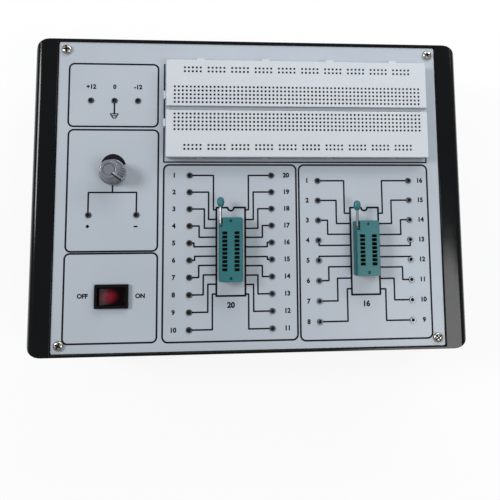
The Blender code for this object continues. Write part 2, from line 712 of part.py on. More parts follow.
def build_upper_case():
    bm = bmesh.new()
    case_body(bm, UPPER_BOTTOM, UPPER_TOP)
    case = mesh_object("upper_case", bm, BLACK_PLASTIC)

    def shoulder_form(bm):
        """A wide bar whose two long upper edges are rounded: what it leaves is the case's outside."""
        reach = Vector((CASE_WIDTH / 2, CASE_DEPTH / 2 + CUT_OVERRUN, 0))
        low = -reach + Vector((0, 0, UPPER_BOTTOM - CUT_OVERRUN))
        high = reach + Vector((0, 0, UPPER_TOP))
        bar = bmesh.new()
        add_box(bar, low, high)
        middle = (low.z + high.z) / 2
        ridges = [
            e
            for e in bar.edges
            if all(v.co.z > middle for v in e.verts) and e.verts[0].co.x * e.verts[1].co.x > 0
        ]
        bmesh.ops.bevel(
            bar, geom=ridges, offset=SHOULDER_ROUND, segments=5, profile=0.5, affect="EDGES"
        )
        merge_into(bm, bar)

    boolean(case, helper(case, "shoulders", shoulder_form), "INTERSECT")
    ledge_bottom = LEDGE_TOP - LEDGE_THICKNESS
    cut(case, "hollow", lambda bm: case_hollow(bm, UPPER_BOTTOM - CUT_OVERRUN, ledge_bottom))
    recess_x = PANEL_WIDTH / 2 + CLEARANCE
    recess_y = PANEL_DEPTH / 2 + CLEARANCE
    inner_x = CASE_WIDTH / 2 - CASE_WALL
    inner_y = CASE_DEPTH / 2 - CASE_WALL - CASE_CORNER_RADIUS / 2

    def shoulder_hollows(bm):
        for side in SIGNS:
            near = side * (recess_x + CASE_WALL)
            far = side * (inner_x - SHOULDER_ROUND / 2)
            add_box(
                bm,
                (min(near, far), -inner_y, ledge_bottom - CUT_OVERRUN),
                (max(near, far), inner_y, UPPER_TOP - CASE_WALL),
            )

    cut(case, "shoulder_hollows", shoulder_hollows)

    def panel_seat(bm):
        add_box(
            bm,
            (-recess_x, -recess_y, LEDGE_TOP),
            (recess_x, recess_y, UPPER_TOP + CUT_OVERRUN),
        )

    cut(case, "panel_seat", panel_seat)

    def window(bm):
        add_box(
            bm,
            (LEDGE_WIDTH - recess_x, LEDGE_WIDTH - recess_y, ledge_bottom - CUT_OVERRUN),
            (recess_x - LEDGE_WIDTH, recess_y - LEDGE_WIDTH, LEDGE_TOP + CUT_OVERRUN),
        )

    cut(case, "window", window)

    def posts(bm):
        add_at_case_screws(bm, CASE_COLUMN_RADIUS, UPPER_BOTTOM, UPPER_TOP - CASE_WALL / 2)
        add_at_panel_screws(bm, PANEL_BOSS_RADIUS, LEDGE_TOP - PANEL_BOSS_HEIGHT, LEDGE_TOP)

    join(case, "posts", posts)

    def bores(bm):
        screw_top = CASE_SCREW_SEAT + CASE_SCREW_LENGTH
        add_at_case_screws(
            bm, CASE_SCREW_RADIUS + CLEARANCE, UPPER_BOTTOM - CUT_OVERRUN, screw_top + CUT_OVERRUN, 12
        )
        add_at_panel_screws(
            bm,
            PANEL_SCREW_RADIUS + CLEARANCE,
            LEDGE_TOP - PANEL_BOSS_HEIGHT - CUT_OVERRUN,
            LEDGE_TOP + CUT_OVERRUN,
            8,
        )

    cut(case, "bores", bores)
    return case


def build_feet_and_case_screws():
    for number, (sx, sy) in enumerate(QUADRANTS, start=1):
        x = sx * (CASE_WIDTH / 2 - FOOT_INSET_X)
        y = sy * (CASE_DEPTH / 2 - FOOT_INSET_Y)
        profile = [
            (0, FOOT_HEIGHT),
            (FOOT_RADIUS, FOOT_HEIGHT),
            (FOOT_RADIUS - FOOT_DRAFT, 0),
            (0, 0),
        ]
        turned(f"foot_{number}", profile, RUBBER, (x, y, 0), 20)
        screw = turned(
            f"case_screw_{number}",
            screw_profile(
                CASE_SCREW_HEAD_RADIUS, CASE_SCREW_HEAD_HEIGHT, CASE_SCREW_RADIUS, CASE_SCREW_LENGTH
            ),
            STEEL,
            (sx * CASE_SCREW_X, sy * CASE_SCREW_Y, CASE_SCREW_SEAT - CLEARANCE),
            12,
        )
        screw.rotation_euler = (pi, 0, 0)


# Panel


def socket_places():
    """The centres of each group of patch sockets, by the name of the board that carries them."""
    pitch = SUPPLY_SOCKET_PITCH
    return {
        "fixed_supply_sockets": [(SUPPLY_CENTRE_X + n * pitch, FIXED_SOCKET_Y) for n in (-1, 0, 1)],
        "variable_supply_sockets": [
            (SUPPLY_CENTRE_X + n * pitch, VARIABLE_SOCKET_Y) for n in SIGNS
        ],
        "zif20_terminal_board": two_columns(
            ZIF20_CENTRE_X, ZIF20_SOCKET_SPACING, ZIF20_SOCKET_PITCH, ZIF20_PINS
        ),
        "zif16_terminal_board": two_columns(
            ZIF16_CENTRE_X, ZIF16_SOCKET_SPACING, ZIF16_SOCKET_PITCH, ZIF16_PINS
        ),
    }


def two_columns(centre_x, spacing, pitch, count):
    """Socket centres in two columns beside a zero-insertion-force socket."""
    rows = count // 2
    return [
        (centre_x + side * spacing / 2, ZIF_CENTRE_Y + ((rows - 1) / 2 - row) * pitch)
        for side in SIGNS
        for row in range(rows)
    ]


def add_pin_slots(bm, centre, pins, bottom, top):
    """Two long slots for a zero-insertion-force socket's rows of pins."""
    for side in SIGNS:
        x = centre[0] + side * PIN_ROW_SPACING / 2
        half_x = ZIF_PIN_THICKNESS / 2 + 2 * CLEARANCE
        half_y = (pins // 2) * PIN_PITCH / 2 + CLEARANCE
        add_box(bm, (x - half_x, centre[1] - half_y, bottom), (x + half_x, centre[1] + half_y, top))


def build_panel():
    bm = bmesh.new()
    add_slab(
        bm, (0, 0), PANEL_WIDTH, PANEL_DEPTH, PANEL_BOTTOM, PANEL_TOP, PANEL_CORNER_RADIUS, 2
    )
    panel = mesh_object("control_panel", bm, PANEL_PAINT)
    low, high = PANEL_BOTTOM - CUT_OVERRUN, PANEL_TOP + CUT_OVERRUN

    def openings(bm):
        add_at_panel_screws(bm, PANEL_SCREW_RADIUS + CLEARANCE, low, high, 8)
        for places in socket_places().values():
            for place in places:
                add_cylinder(bm, place, SOCKET_RADIUS + CLEARANCE, low, high, SOCKET_SIDES)
        for _, x, pins in ZIFS:
            add_pin_slots(bm, (x, ZIF_CENTRE_Y), pins, low, high)
        add_cylinder(
            bm, (SUPPLY_CENTRE_X, POT_CENTRE_Y), POT_BUSHING_RADIUS + CLEARANCE, low, high, 20
        )
        half_length = SWITCH_BODY_LENGTH / 2 + CLEARANCE
        half_width = SWITCH_BODY_WIDTH / 2 + CLEARANCE
        add_box(
            bm,
            (SWITCH_CENTRE_X - half_length, SWITCH_CENTRE_Y - half_width, low),
            (SWITCH_CENTRE_X + half_length, SWITCH_CENTRE_Y + half_width, high),
        )

    cut(panel, "openings", openings)
    for number, (sx, sy) in enumerate(QUADRANTS, start=1):
        build_panel_screw(f"panel_screw_{number}", sx * PANEL_SCREW_X, sy * PANEL_SCREW_Y)


def build_panel_screw(name, x, y):
    screw = turned(
        name,
        screw_profile(
            PANEL_SCREW_HEAD_RADIUS, PANEL_SCREW_HEAD_HEIGHT, PANEL_SCREW_RADIUS, PANEL_SCREW_LENGTH
        ),
        STEEL,
        (x, y, PANEL_TOP + CLEARANCE),
        16,
    )

    long = PANEL_SCREW_HEAD_RADIUS * SCREW_CROWN_SHARE
    short = PANEL_SCREW_RECESS_WIDTH / 2
    low = PANEL_SCREW_HEAD_HEIGHT - PANEL_SCREW_RECESS_DEPTH
    high = PANEL_SCREW_HEAD_HEIGHT + CUT_OVERRUN
    cut(screw, "slot", lambda bm: add_box(bm, (-long, -short, low), (long, short, high)))
    cut(screw, "cross_slot", lambda bm: add_box(bm, (-short, -long, low), (short, long, high)))


def build_terminal_board(name, places):
    """A small board under the panel, with the patch sockets that stand in it."""
    xs, ys = zip(*places)
    margin = TERMINAL_BOARD_MARGIN
    bm = bmesh.new()
    add_box(
        bm,
        (min(xs) - margin, min(ys) - margin, TERMINAL_BOARD_BOTTOM),
        (max(xs) + margin, max(ys) + margin, TERMINAL_BOARD_TOP),
    )
    board = mesh_object(name, bm, CIRCUIT_BOARD)
    for zif, x, pins in ZIFS:
        if name.startswith(zif):
            cut(
                board,
                "pin_slots",
                lambda bm, x=x, pins=pins: add_pin_slots(
                    bm,
                    (x, ZIF_CENTRE_Y),
                    pins,
                    TERMINAL_BOARD_BOTTOM - CUT_OVERRUN,
                    TERMINAL_BOARD_TOP + CUT_OVERRUN,
                ),
            )

    def sockets(bm):
        for place in places:
            add_cylinder(
                bm,
                place,
                SOCKET_RADIUS,
                TERMINAL_BOARD_TOP - JOIN_OVERLAP,
                PANEL_TOP + SOCKET_RISE,
                SOCKET_SIDES,
            )

    join(board, "sockets", sockets)

    def bores(bm):
        for place in places:
            add_cylinder(
                bm,
                place,
                SOCKET_BORE_RADIUS,
                TERMINAL_BOARD_BOTTOM - CUT_OVERRUN,
                PANEL_TOP + SOCKET_RISE + CUT_OVERRUN,
                SOCKET_SIDES,
            )

    cut(board, "bores", bores)


# Breadboard


def tab_outline(sign, along, edge, reach, half, flare):
    """A dovetail tab's corners: along the edge it stands on, and out from that edge."""
    root = edge - sign * JOIN_OVERLAP
    return [
        (along - half, root),
        (along + half, root),
        (along + half + flare, edge + sign * reach),
        (along - half - flare, edge + sign * reach),
    ]


def add_prism(bm, corners, bottom, top):
    """An upright prism over a four-cornered outline."""
    floor = [bm.verts.new((x, y, bottom)) for x, y in corners]
    face = bm.faces.new(floor)
    raised = bmesh.ops.extrude_face_region(bm, geom=[face])
    verts = [v for v in raised["geom"] if isinstance(v, bmesh.types.BMVert)]
    bmesh.ops.translate(bm, verts=verts, vec=(0, 0, top - bottom))
    bmesh.ops.recalc_face_normals(bm, faces=bm.faces)


def breadboard_dovetails(bm, sign, growth, bottom, top):
    """Dovetails along the left and rear edges (sign 1 in y), or their slots opposite."""
    half = BREADBOARD_TAB_WIDTH / 2 + growth
    reach = BREADBOARD_TAB_REACH + growth
    for share in BREADBOARD_LONG_TAB_SHARES:
        corners = tab_outline(
            1,
            share * BREADBOARD_LENGTH,
            sign * BREADBOARD_WIDTH / 2,
            reach,
            half,
            BREADBOARD_TAB_FLARE,
        )
        add_prism(bm, corners, bottom, top)
    for side in SIGNS:
        corners = tab_outline(
            -1,
            side * BREADBOARD_SIDE_TAB_OFFSET,
            -sign * BREADBOARD_LENGTH / 2,
            reach,
            half,
            BREADBOARD_TAB_FLARE,
        )
        add_prism(bm, [(x, y) for y, x in corners], bottom, top)


def build_breadboard():
    backing_bottom = PANEL_TOP + CLEARANCE
    place = (BREADBOARD_CENTRE_X, BREADBOARD_CENTRE_Y, backing_bottom)
    bm = bmesh.new()
    add_slab(
        bm,
        (0, 0),
        BREADBOARD_LENGTH - 2 * BREADBOARD_TAB_REACH,
        BREADBOARD_WIDTH - 2 * BREADBOARD_TAB_REACH,
        0,
        BREADBOARD_BACKING_THICKNESS,
        BREADBOARD_CORNER_RADIUS,
        2,
    )
    mesh_object("breadboard_backing", bm, FOAM, place)
    bottom = BREADBOARD_BACKING_THICKNESS + CLEARANCE
    top = bottom + BREADBOARD_HEIGHT
    bm = bmesh.new()
    add_slab(
        bm,
        (0, 0),
        BREADBOARD_LENGTH,
        BREADBOARD_WIDTH,
        bottom,
        top,
        BREADBOARD_CORNER_RADIUS,
        2,
    )
    body = mesh_object("breadboard_body", bm, WHITE_PLASTIC, place)

    def groove(bm):
        add_box(
            bm,
            (
                -BREADBOARD_LENGTH / 2 - CUT_OVERRUN,
                -BREADBOARD_GROOVE_WIDTH / 2,
                top - BREADBOARD_GROOVE_DEPTH,
            ),
            (BREADBOARD_LENGTH / 2 + CUT_OVERRUN, BREADBOARD_GROOVE_WIDTH / 2, top + CUT_OVERRUN),
        )

    cut(body, "groove", groove)
    tab_top = bottom + BREADBOARD_TAB_HEIGHT
    join(body, "tabs", lambda bm: breadboard_dovetails(bm, 1, 0, bottom + CLEARANCE, tab_top))
    cut(
        body,
        "tab_slots",
        lambda bm: breadboard_dovetails(
            bm, -1, CLEARANCE, bottom - CUT_OVERRUN, tab_top + CLEARANCE
        ),
    )


# Zero-insertion-force sockets


def build_zif(name, centre_x, pins):
    rows = pins // 2
    half_rows = (rows - 1) * PIN_PITCH / 2
    front = -half_rows - ZIF_FAR_MARGIN
    rear = half_rows + ZIF_LEVER_MARGIN
    length = rear - front
    middle = (front + rear) / 2
    place = (centre_x, ZIF_CENTRE_Y, PANEL_TOP + CLEARANCE)
    base_top = ZIF_BASE_HEIGHT
    cover_bottom = base_top + CLEARANCE
    cover_top = cover_bottom + ZIF_COVER_HEIGHT
    pivot = (0, rear - ZIF_LEVER_INSET, cover_top - ZIF_LEVER_DEPTH)
    room = ZIF_LEVER_RADIUS + ZIF_LEVER_PLAY

    def axle_room(bm):
        """A blind bore across the cover, which the lever's axle slides into from the notch."""
        add_box(
            bm,
            (-ZIF_LEVER_OFFSET, pivot[1] - room, pivot[2] - room),
            (ZIF_AXLE_REACH + room, pivot[1] + room, pivot[2] + room),
        )

    def arm_room(bm):
        """The notch that the lever's arm lies in, open at the cover's end and side."""
        add_box(
            bm,
            (-ZIF_LEVER_OFFSET - room, pivot[1] - room, pivot[2] - room),
            (-ZIF_LEVER_OFFSET + room, rear + CUT_OVERRUN, cover_top + CUT_OVERRUN),
        )

    bm = bmesh.new()
    add_slab(bm, (0, middle), ZIF_WIDTH, length, 0, base_top, ZIF_CHAMFER, 1)
    base = mesh_object(f"{name}_base", bm, GREEN_PLASTIC, place)
    pocket_depth = ZIF_SLIDER_THICKNESS + CLEARANCE
    slider_front = front + ZIF_END_WALL
    slider_rear = pivot[1] - room - CLEARANCE

    def slider_pocket(bm):
        half = ZIF_SLIDER_WIDTH / 2 + CLEARANCE
        add_box(
            bm,
            (-half, slider_front, base_top - pocket_depth),
            (half, slider_rear, base_top + CUT_OVERRUN),
        )

    cut(base, "slider_pocket", slider_pocket)

    def pins_below(bm):
        for side in SIGNS:
            for row in range(rows):
                x = side * PIN_ROW_SPACING / 2
                y = row * PIN_PITCH - half_rows
                half = ZIF_PIN_THICKNESS / 2
                add_box(
                    bm,
                    (x - half, y - half, -ZIF_PIN_LENGTH),
                    (x + half, y + half, JOIN_OVERLAP),
                )

    join(base, "pins", pins_below)

    bm = bmesh.new()
    low = ZIF_SLIDER_END_GAP + ZIF_SLIDER_TRAVEL
    add_box(
        bm,
        (-ZIF_SLIDER_WIDTH / 2, slider_front + low, base_top - ZIF_SLIDER_THICKNESS),
        (ZIF_SLIDER_WIDTH / 2, slider_rear - ZIF_SLIDER_END_GAP, base_top - CLEARANCE),
    )
    slider = mesh_object(f"{name}_slider", bm, GREEN_PLASTIC, place)

    def slider_slots(bm):
        for side in SIGNS:
            x = side * PIN_ROW_SPACING / 2
            half_x = ZIF_SLOT_WIDTH / 2
            half_y = half_rows + ZIF_SLOT_WIDTH / 2
            add_box(
                bm,
                (x - half_x, -half_y, base_top - ZIF_SLIDER_THICKNESS - CUT_OVERRUN),
                (x + half_x, half_y, base_top + CUT_OVERRUN),
            )

    cut(slider, "slots", slider_slots)

    bm = bmesh.new()
    add_slab(
        bm, (0, middle), ZIF_COVER_WIDTH, length, cover_bottom, cover_top, ZIF_CHAMFER, 1
    )
    cover = mesh_object(f"{name}_cover", bm, GREEN_PLASTIC, place)

    def contact_slots(bm):
        for side in SIGNS:
            for row in range(rows):
                x = side * PIN_ROW_SPACING / 2
                y = row * PIN_PITCH - half_rows
                add_box(
                    bm,
                    (x - ZIF_SLOT_LENGTH / 2, y - ZIF_SLOT_WIDTH / 2, cover_bottom - CUT_OVERRUN),
                    (x + ZIF_SLOT_LENGTH / 2, y + ZIF_SLOT_WIDTH / 2, cover_top + CUT_OVERRUN),
                )
        for y in (front + ZIF_HOLE_INSET, rear - ZIF_HOLE_INSET):
            add_cylinder(
                bm, (0, y), ZIF_HOLE_RADIUS, cover_top - ZIF_HOLE_DEPTH, cover_top + CUT_OVERRUN, 10
            )

    cut(cover, "contact_slots", contact_slots)
    cut(cover, "axle_room", axle_room)
    cut(cover, "arm_room", arm_room)

    lever_place = Vector(place) + Vector(pivot)
    reach = rear + ZIF_LEVER_REACH - pivot[1]
    arm_x = -ZIF_LEVER_OFFSET
    bend = ZIF_LEVER_BEND_RADIUS
    angles = [pi / 2 * n / ZIF_LEVER_BEND_STEPS for n in range(ZIF_LEVER_BEND_STEPS + 1)]
    corner = [(arm_x + bend * (1 - sin(a)), bend * (1 - cos(a)), 0) for a in angles]
    rod_end = reach - ZIF_LEVER_KNOB_LENGTH / 2
    rod = [(ZIF_AXLE_REACH, 0, 0), *corner, (arm_x, rod_end, 0)]
    tube(f"{name}_lever", rod, ZIF_LEVER_RADIUS, STEEL, lever_place)
    build_lever_knob(f"{name}_lever_knob", lever_place, arm_x, reach, rod_end)


def build_lever_knob(name, lever_place, arm_x, reach, rod_end):
    """The moulded grip on a lever's end, with a blind bore for the rod."""
    radius = ZIF_LEVER_KNOB_RADIUS
    start = reach - ZIF_LEVER_KNOB_LENGTH
    half = ZIF_LEVER_KNOB_LENGTH / 2
    bore = ZIF_LEVER_RADIUS + CLEARANCE
    angles = [pi * n / ZIF_LEVER_KNOB_STEPS for n in range(1, ZIF_LEVER_KNOB_STEPS - 1)]
    arc = [(radius * sin(a) ** ZIF_LEVER_KNOB_BULGE_SHARE, half + half * cos(a)) for a in angles]
    bore_top = rod_end - start + CLEARANCE
    profile = [(0, ZIF_LEVER_KNOB_LENGTH), *arc, (bore, 0), (bore, bore_top), (0, bore_top)]
    knob = turned(name, profile, GREEN_PLASTIC, lever_place, 16)
    for vertex in knob.data.vertices:
        vertex.co.z += start
    knob.rotation_euler = (-pi / 2, 0, 0)
    knob.location = Vector(lever_place) + Vector((arm_x, 0, 0))


# Potentiometer and knob


def build_potentiometer():
    place = (SUPPLY_CENTRE_X, POT_CENTRE_Y, PANEL_TOP)
    under = -PANEL_THICKNESS - CLEARANCE
    bore = POT_SHAFT_RADIUS + POT_SHAFT_PLAY
    body = turned(
        "pot_body",
        [
            (bore, POT_BUSHING_RISE),
            (POT_BUSHING_RADIUS, POT_BUSHING_RISE),
            (POT_BUSHING_RADIUS, under),
            (POT_BODY_RADIUS, under),
            (POT_BODY_RADIUS, under - POT_BODY_HEIGHT),
            (bore, under - POT_BODY_HEIGHT),
        ],
        STEEL,
        place,
        20,
    )

    def lugs(bm):
        low = under - POT_LUG_DROP
        for n in (-1, 0, 1):
            x = n * POT_LUG_PITCH
            add_box(
                bm,
                (
                    x - POT_LUG_WIDTH / 2,
                    -POT_BODY_RADIUS - POT_LUG_REACH,
                    low - POT_LUG_THICKNESS,
                ),
                (x + POT_LUG_WIDTH / 2, -POT_BODY_RADIUS / 2, low),
            )

    join(body, "lugs", lugs)
    bm = bmesh.new()
    add_cylinder(
        bm, (0, 0), POT_NUT_RADIUS, CLEARANCE, CLEARANCE + POT_NUT_THICKNESS, 6
    )
    nut = mesh_object("pot_nut", bm, STEEL, place)
    cut(
        nut,
        "bore",
        lambda bm: add_cylinder(
            bm,
            (0, 0),
            POT_BUSHING_RADIUS + CLEARANCE,
            -CUT_OVERRUN,
            POT_NUT_THICKNESS + CUT_OVERRUN,
            20,
        ),
    )
    turned(
        "pot_shaft",
        [
            (0, POT_SHAFT_RISE),
            (POT_SHAFT_RADIUS, POT_SHAFT_RISE),
            (POT_SHAFT_RADIUS, under - POT_SHAFT_DEPTH),
            (0, under - POT_SHAFT_DEPTH),
        ],
        BRASS,
        place,
        20,
    )


def build_knob():
    place = (SUPPLY_CENTRE_X, POT_CENTRE_Y, PANEL_TOP)
    low = KNOB_RUNNING_GAP
    top = low + KNOB_HEIGHT
    cavity_radius = KNOB_BASE_RADIUS - KNOB_WALL
    neck = POT_BUSHING_RADIUS + CLEARANCE
    bore = POT_SHAFT_RADIUS + CLEARANCE
    rim = KNOB_TOP_RADIUS - KNOB_TOP_RIM
    profile = [
        (0, top - KNOB_TOP_RECESS),
        (rim, top - KNOB_TOP_RECESS),
        (rim, top),
        (KNOB_TOP_RADIUS, top),
        (KNOB_BASE_RADIUS - KNOB_WALL / 2, low + KNOB_SKIRT_HEIGHT),
        (KNOB_BASE_RADIUS, low + KNOB_SKIRT_HEIGHT),
        (KNOB_BASE_RADIUS, low),
        (cavity_radius, low),
        (cavity_radius, low + KNOB_CAVITY_HEIGHT),
        (neck, low + KNOB_CAVITY_HEIGHT),
        (neck, POT_BUSHING_RISE + CLEARANCE),
        (bore, POT_BUSHING_RISE + CLEARANCE),
        (bore, POT_SHAFT_RISE + CLEARANCE),
        (0, POT_SHAFT_RISE + CLEARANCE),
    ]
    knob = turned("voltage_knob", profile, GREY_PLASTIC, place, 24)
    knob.rotation_euler = (0, 0, KNOB_POINTER_ANGLE)

    def pointer(bm):
        half = KNOB_POINTER_WIDTH / 2
        bottom = top - KNOB_TOP_RECESS - JOIN_OVERLAP
        add_box(
            bm,
            (KNOB_TOP_RADIUS * KNOB_POINTER_START_SHARE, -half, bottom),
            (KNOB_TOP_RADIUS, half, top + KNOB_POINTER_HEIGHT),
        )

    join(knob, "pointer", pointer)


# Power switch


def tilted(x, z, angle):
    """A point of the XZ plane after a turn about +Y."""
    return (x * cos(angle) + z * sin(angle), z * cos(angle) - x * sin(angle))


def build_switch():
    place = (SWITCH_CENTRE_X, SWITCH_CENTRE_Y, PANEL_TOP)
    build_switch_housing(place)
    pivot = Vector(place) + Vector((0, 0, SWITCH_PIVOT_HEIGHT))
    build_rocker(pivot)
    build_plunger_and_spring(pivot)
    build_contact(pivot)
    build_switch_terminals(pivot)


def build_switch_housing(place):
    bm = bmesh.new()
    bezel_bottom = CLEARANCE
    bezel_top = bezel_bottom + SWITCH_BEZEL_HEIGHT
    add_slab(
        bm,
        (0, 0),
        SWITCH_BEZEL_LENGTH,
        SWITCH_BEZEL_WIDTH,
        bezel_bottom,
        bezel_top,
        SWITCH_BEZEL_ROUND,
        3,
    )
    housing = mesh_object("switch_housing", bm, BLACK_PLASTIC, place)
    half = Vector((SWITCH_BODY_LENGTH / 2, SWITCH_BODY_WIDTH / 2, 0))
    bottom = -SWITCH_BODY_DEPTH

    def body(bm):
        add_box(bm, -half + Vector((0, 0, bottom)), half + Vector((0, 0, bezel_bottom + JOIN_OVERLAP)))

    join(housing, "body", body)
    room = Vector((SWITCH_CAVITY_LENGTH / 2, SWITCH_CAVITY_WIDTH / 2, 0))

    def cavity(bm):
        add_box(
            bm,
            -room + Vector((0, 0, bottom + SWITCH_FLOOR)),
            room + Vector((0, 0, bezel_top + CUT_OVERRUN)),
        )

    cut(housing, "cavity", cavity)

    def passages(bm):
        for x in switch_terminal_offsets():
            half_x = SWITCH_TERMINAL_THICKNESS / 2 + CLEARANCE
            half_y = SWITCH_TERMINAL_WIDTH / 2 + CLEARANCE
            add_box(
                bm,
                (x - half_x, -half_y, bottom - CUT_OVERRUN),
                (x + half_x, half_y, bottom + SWITCH_FLOOR + CUT_OVERRUN),
            )

    cut(housing, "passages", passages)

    def pivot_holes(bm):
        holes = bmesh.new()
        reach = SWITCH_BODY_WIDTH / 2 + CUT_OVERRUN
        add_cylinder(holes, (0, 0), SWITCH_PIVOT_RADIUS + CLEARANCE, -reach, reach, 12)
        bmesh.ops.rotate(holes, verts=holes.verts, matrix=Matrix.Rotation(pi / 2, 3, "X"))
        bmesh.ops.translate(holes, verts=holes.verts, vec=(0, 0, SWITCH_PIVOT_HEIGHT))
        merge_into(bm, holes)

    cut(housing, "pivot_holes", pivot_holes)


def switch_terminal_offsets():
    """Where the two terminals stand along the switch: under the seesaw's middle and its left end."""
    return (0, -SWITCH_CONTACT_LENGTH / 2 + SWITCH_TERMINAL_THICKNESS)


def build_rocker(pivot):
    half = SWITCH_ROCKER_LENGTH / 2
    end = half * ROCKER_CROWN_SHARE
    crown = SWITCH_ROCKER_WAIST + end * tan(SWITCH_ROCKER_TILT)
    keel = -SWITCH_ROCKER_SKIRT
    outline = [
        (0, SWITCH_ROCKER_WAIST),
        (-end, crown),
        (-half, 0),
        (-half * ROCKER_HEEL_SHARE, keel * ROCKER_HEEL_DROP_SHARE),
        (-half * ROCKER_KEEL_SHARE, keel),
        (half * ROCKER_KEEL_SHARE, keel),
        (half * ROCKER_HEEL_SHARE, keel * ROCKER_HEEL_DROP_SHARE),
        (half, 0),
        (end, crown),
    ]
    rocker = outline_object("switch_rocker", outline, SWITCH_ROCKER_WIDTH, RED_PLASTIC)
    rocker.location = pivot
    rocker.rotation_euler = (0, SWITCH_ROCKER_TILT, 0)

    def stem(bm):
        add_cylinder(bm, (0, 0), SWITCH_STEM_RADIUS, -SWITCH_STEM_DROP, keel + JOIN_OVERLAP, 12)

    join(rocker, "stem", stem)

    def axle(bm):
        pins = bmesh.new()
        reach = SWITCH_BODY_WIDTH / 2 - CLEARANCE
        add_cylinder(pins, (0, 0), SWITCH_PIVOT_RADIUS, -reach, reach, 12)
        bmesh.ops.rotate(pins, verts=pins.verts, matrix=Matrix.Rotation(pi / 2, 3, "X"))
        merge_into(bm, pins)

    join(rocker, "axle", axle)

    def bore(bm):
        top = -SWITCH_PIVOT_RADIUS - CLEARANCE
        add_cylinder(
            bm, (0, 0), SWITCH_PLUNGER_RADIUS + CLEARANCE, -SWITCH_STEM_DROP - CUT_OVERRUN, top, 12
        )

    cut(rocker, "bore", bore)


def build_plunger_and_spring(pivot):
    tip = -SWITCH_PLUNGER_TIP_DROP
    top = tip + SWITCH_PLUNGER_LENGTH
    radius = SWITCH_PLUNGER_RADIUS
    plunger = turned(
        "switch_plunger",
        [
            (0, top),
            (radius, top),
            (radius, tip + radius),
            (radius * PLUNGER_TIP_SHARE, tip),
            (0, tip),
        ],
        WHITE_PLASTIC,
        pivot,
        12,
    )
    plunger.rotation_euler = (0, SWITCH_ROCKER_TILT, 0)
    wire = SWITCH_SPRING_WIRE
    bottom = top + wire + CLEARANCE
    ceiling = -SWITCH_PIVOT_RADIUS - 2 * CLEARANCE - wire
    coil = radius - wire
    count = SWITCH_SPRING_TURNS * SWITCH_SPRING_TURN_POINTS
    points = []
    for n in range(count + 1):
        angle = 2 * pi * n / SWITCH_SPRING_TURN_POINTS
        height = bottom + (ceiling - bottom) * n / count
        points.append((coil * cos(angle), coil * sin(angle), height))
    spring = tube("switch_spring", points, wire, STEEL, pivot, 1)
    spring.rotation_euler = (0, SWITCH_ROCKER_TILT, 0)


def build_contact(pivot):
    bm = bmesh.new()
    half = Vector((SWITCH_CONTACT_LENGTH / 2, SWITCH_CONTACT_WIDTH / 2, SWITCH_CONTACT_THICKNESS / 2))
    add_box(bm, -half, half)
    contact = mesh_object("switch_contact", bm, BRASS)
    contact.location = pivot - Vector((0, 0, SWITCH_CONTACT_DROP))
    contact.rotation_euler = (0, -SWITCH_CONTACT_TILT, 0)


def build_switch_terminals(pivot):
    """Blades through the housing's floor, each reaching up to just below the seesaw contact."""
    bottom = PANEL_TOP - SWITCH_BODY_DEPTH - SWITCH_TERMINAL_REACH
    for number, x in enumerate(switch_terminal_offsets(), start=1):
        outer = abs(x) + SWITCH_TERMINAL_THICKNESS / 2
        sag = outer * sin(SWITCH_CONTACT_TILT) + SWITCH_CONTACT_THICKNESS / 2
        top = pivot.z - SWITCH_CONTACT_DROP - sag - CLEARANCE
        half_x = SWITCH_TERMINAL_THICKNESS / 2
        half_y = SWITCH_TERMINAL_WIDTH / 2
        bm = bmesh.new()
        add_box(bm, (-half_x, -half_y, bottom), (half_x, half_y, top))
        mesh_object(f"switch_terminal_{number}", bm, BRASS, (pivot.x + x, pivot.y, 0))


# Mains inlet


def build_inlet():
    """Its front is flush in the rear wall and its flange bears on the wall's inside."""
    place = (INLET_CENTRE_X, 0, INLET_CENTRE_Z)
    face = CASE_DEPTH / 2 - CLEARANCE
    half_x, half_z = INLET_WIDTH / 2, INLET_HEIGHT / 2
    bm = bmesh.new()
    add_box(bm, (-half_x, face - INLET_DEPTH, -half_z), (half_x, face, half_z))
    inlet = mesh_object("mains_inlet", bm, BLACK_PLASTIC, place)
    seat = CASE_DEPTH / 2 - CASE_WALL - CLEARANCE

    def flange(bm):
        margin = INLET_FLANGE_MARGIN
        add_box(
            bm,
            (-half_x - margin, seat - INLET_FLANGE_THICKNESS, -half_z - margin),
            (half_x + margin, seat, half_z + margin),
        )

    join(inlet, "flange", flange)
    cavity_floor = face - INLET_CAVITY_DEPTH

    def cavity(bm):
        add_box(
            bm,
            (-INLET_CAVITY_WIDTH / 2, cavity_floor, -INLET_CAVITY_HEIGHT / 2),
            (INLET_CAVITY_WIDTH / 2, face + CUT_OVERRUN, INLET_CAVITY_HEIGHT / 2),
        )

    cut(inlet, "cavity", cavity)

    def pins(bm):
        for n in (-1, 0, 1):
            x = n * INLET_PIN_PITCH
            z = INLET_PIN_OFFSET if n == 0 else 0
            add_box(
                bm,
                (x - INLET_PIN_THICKNESS / 2, cavity_floor - JOIN_OVERLAP, z - INLET_PIN_WIDTH / 2),
                (x + INLET_PIN_THICKNESS / 2, cavity_floor + INLET_PIN_LENGTH, z + INLET_PIN_WIDTH / 2),
            )
            add_box(
                bm,
                (
                    x - INLET_TAB_THICKNESS / 2,
                    face - INLET_DEPTH - INLET_TAB_LENGTH,
                    z - INLET_PIN_WIDTH / 2,
                ),
                (
                    x + INLET_TAB_THICKNESS / 2,
                    face - INLET_DEPTH + JOIN_OVERLAP,
                    z + INLET_PIN_WIDTH / 2,
                ),
            )

    join(inlet, "pins", pins)


# Transformer


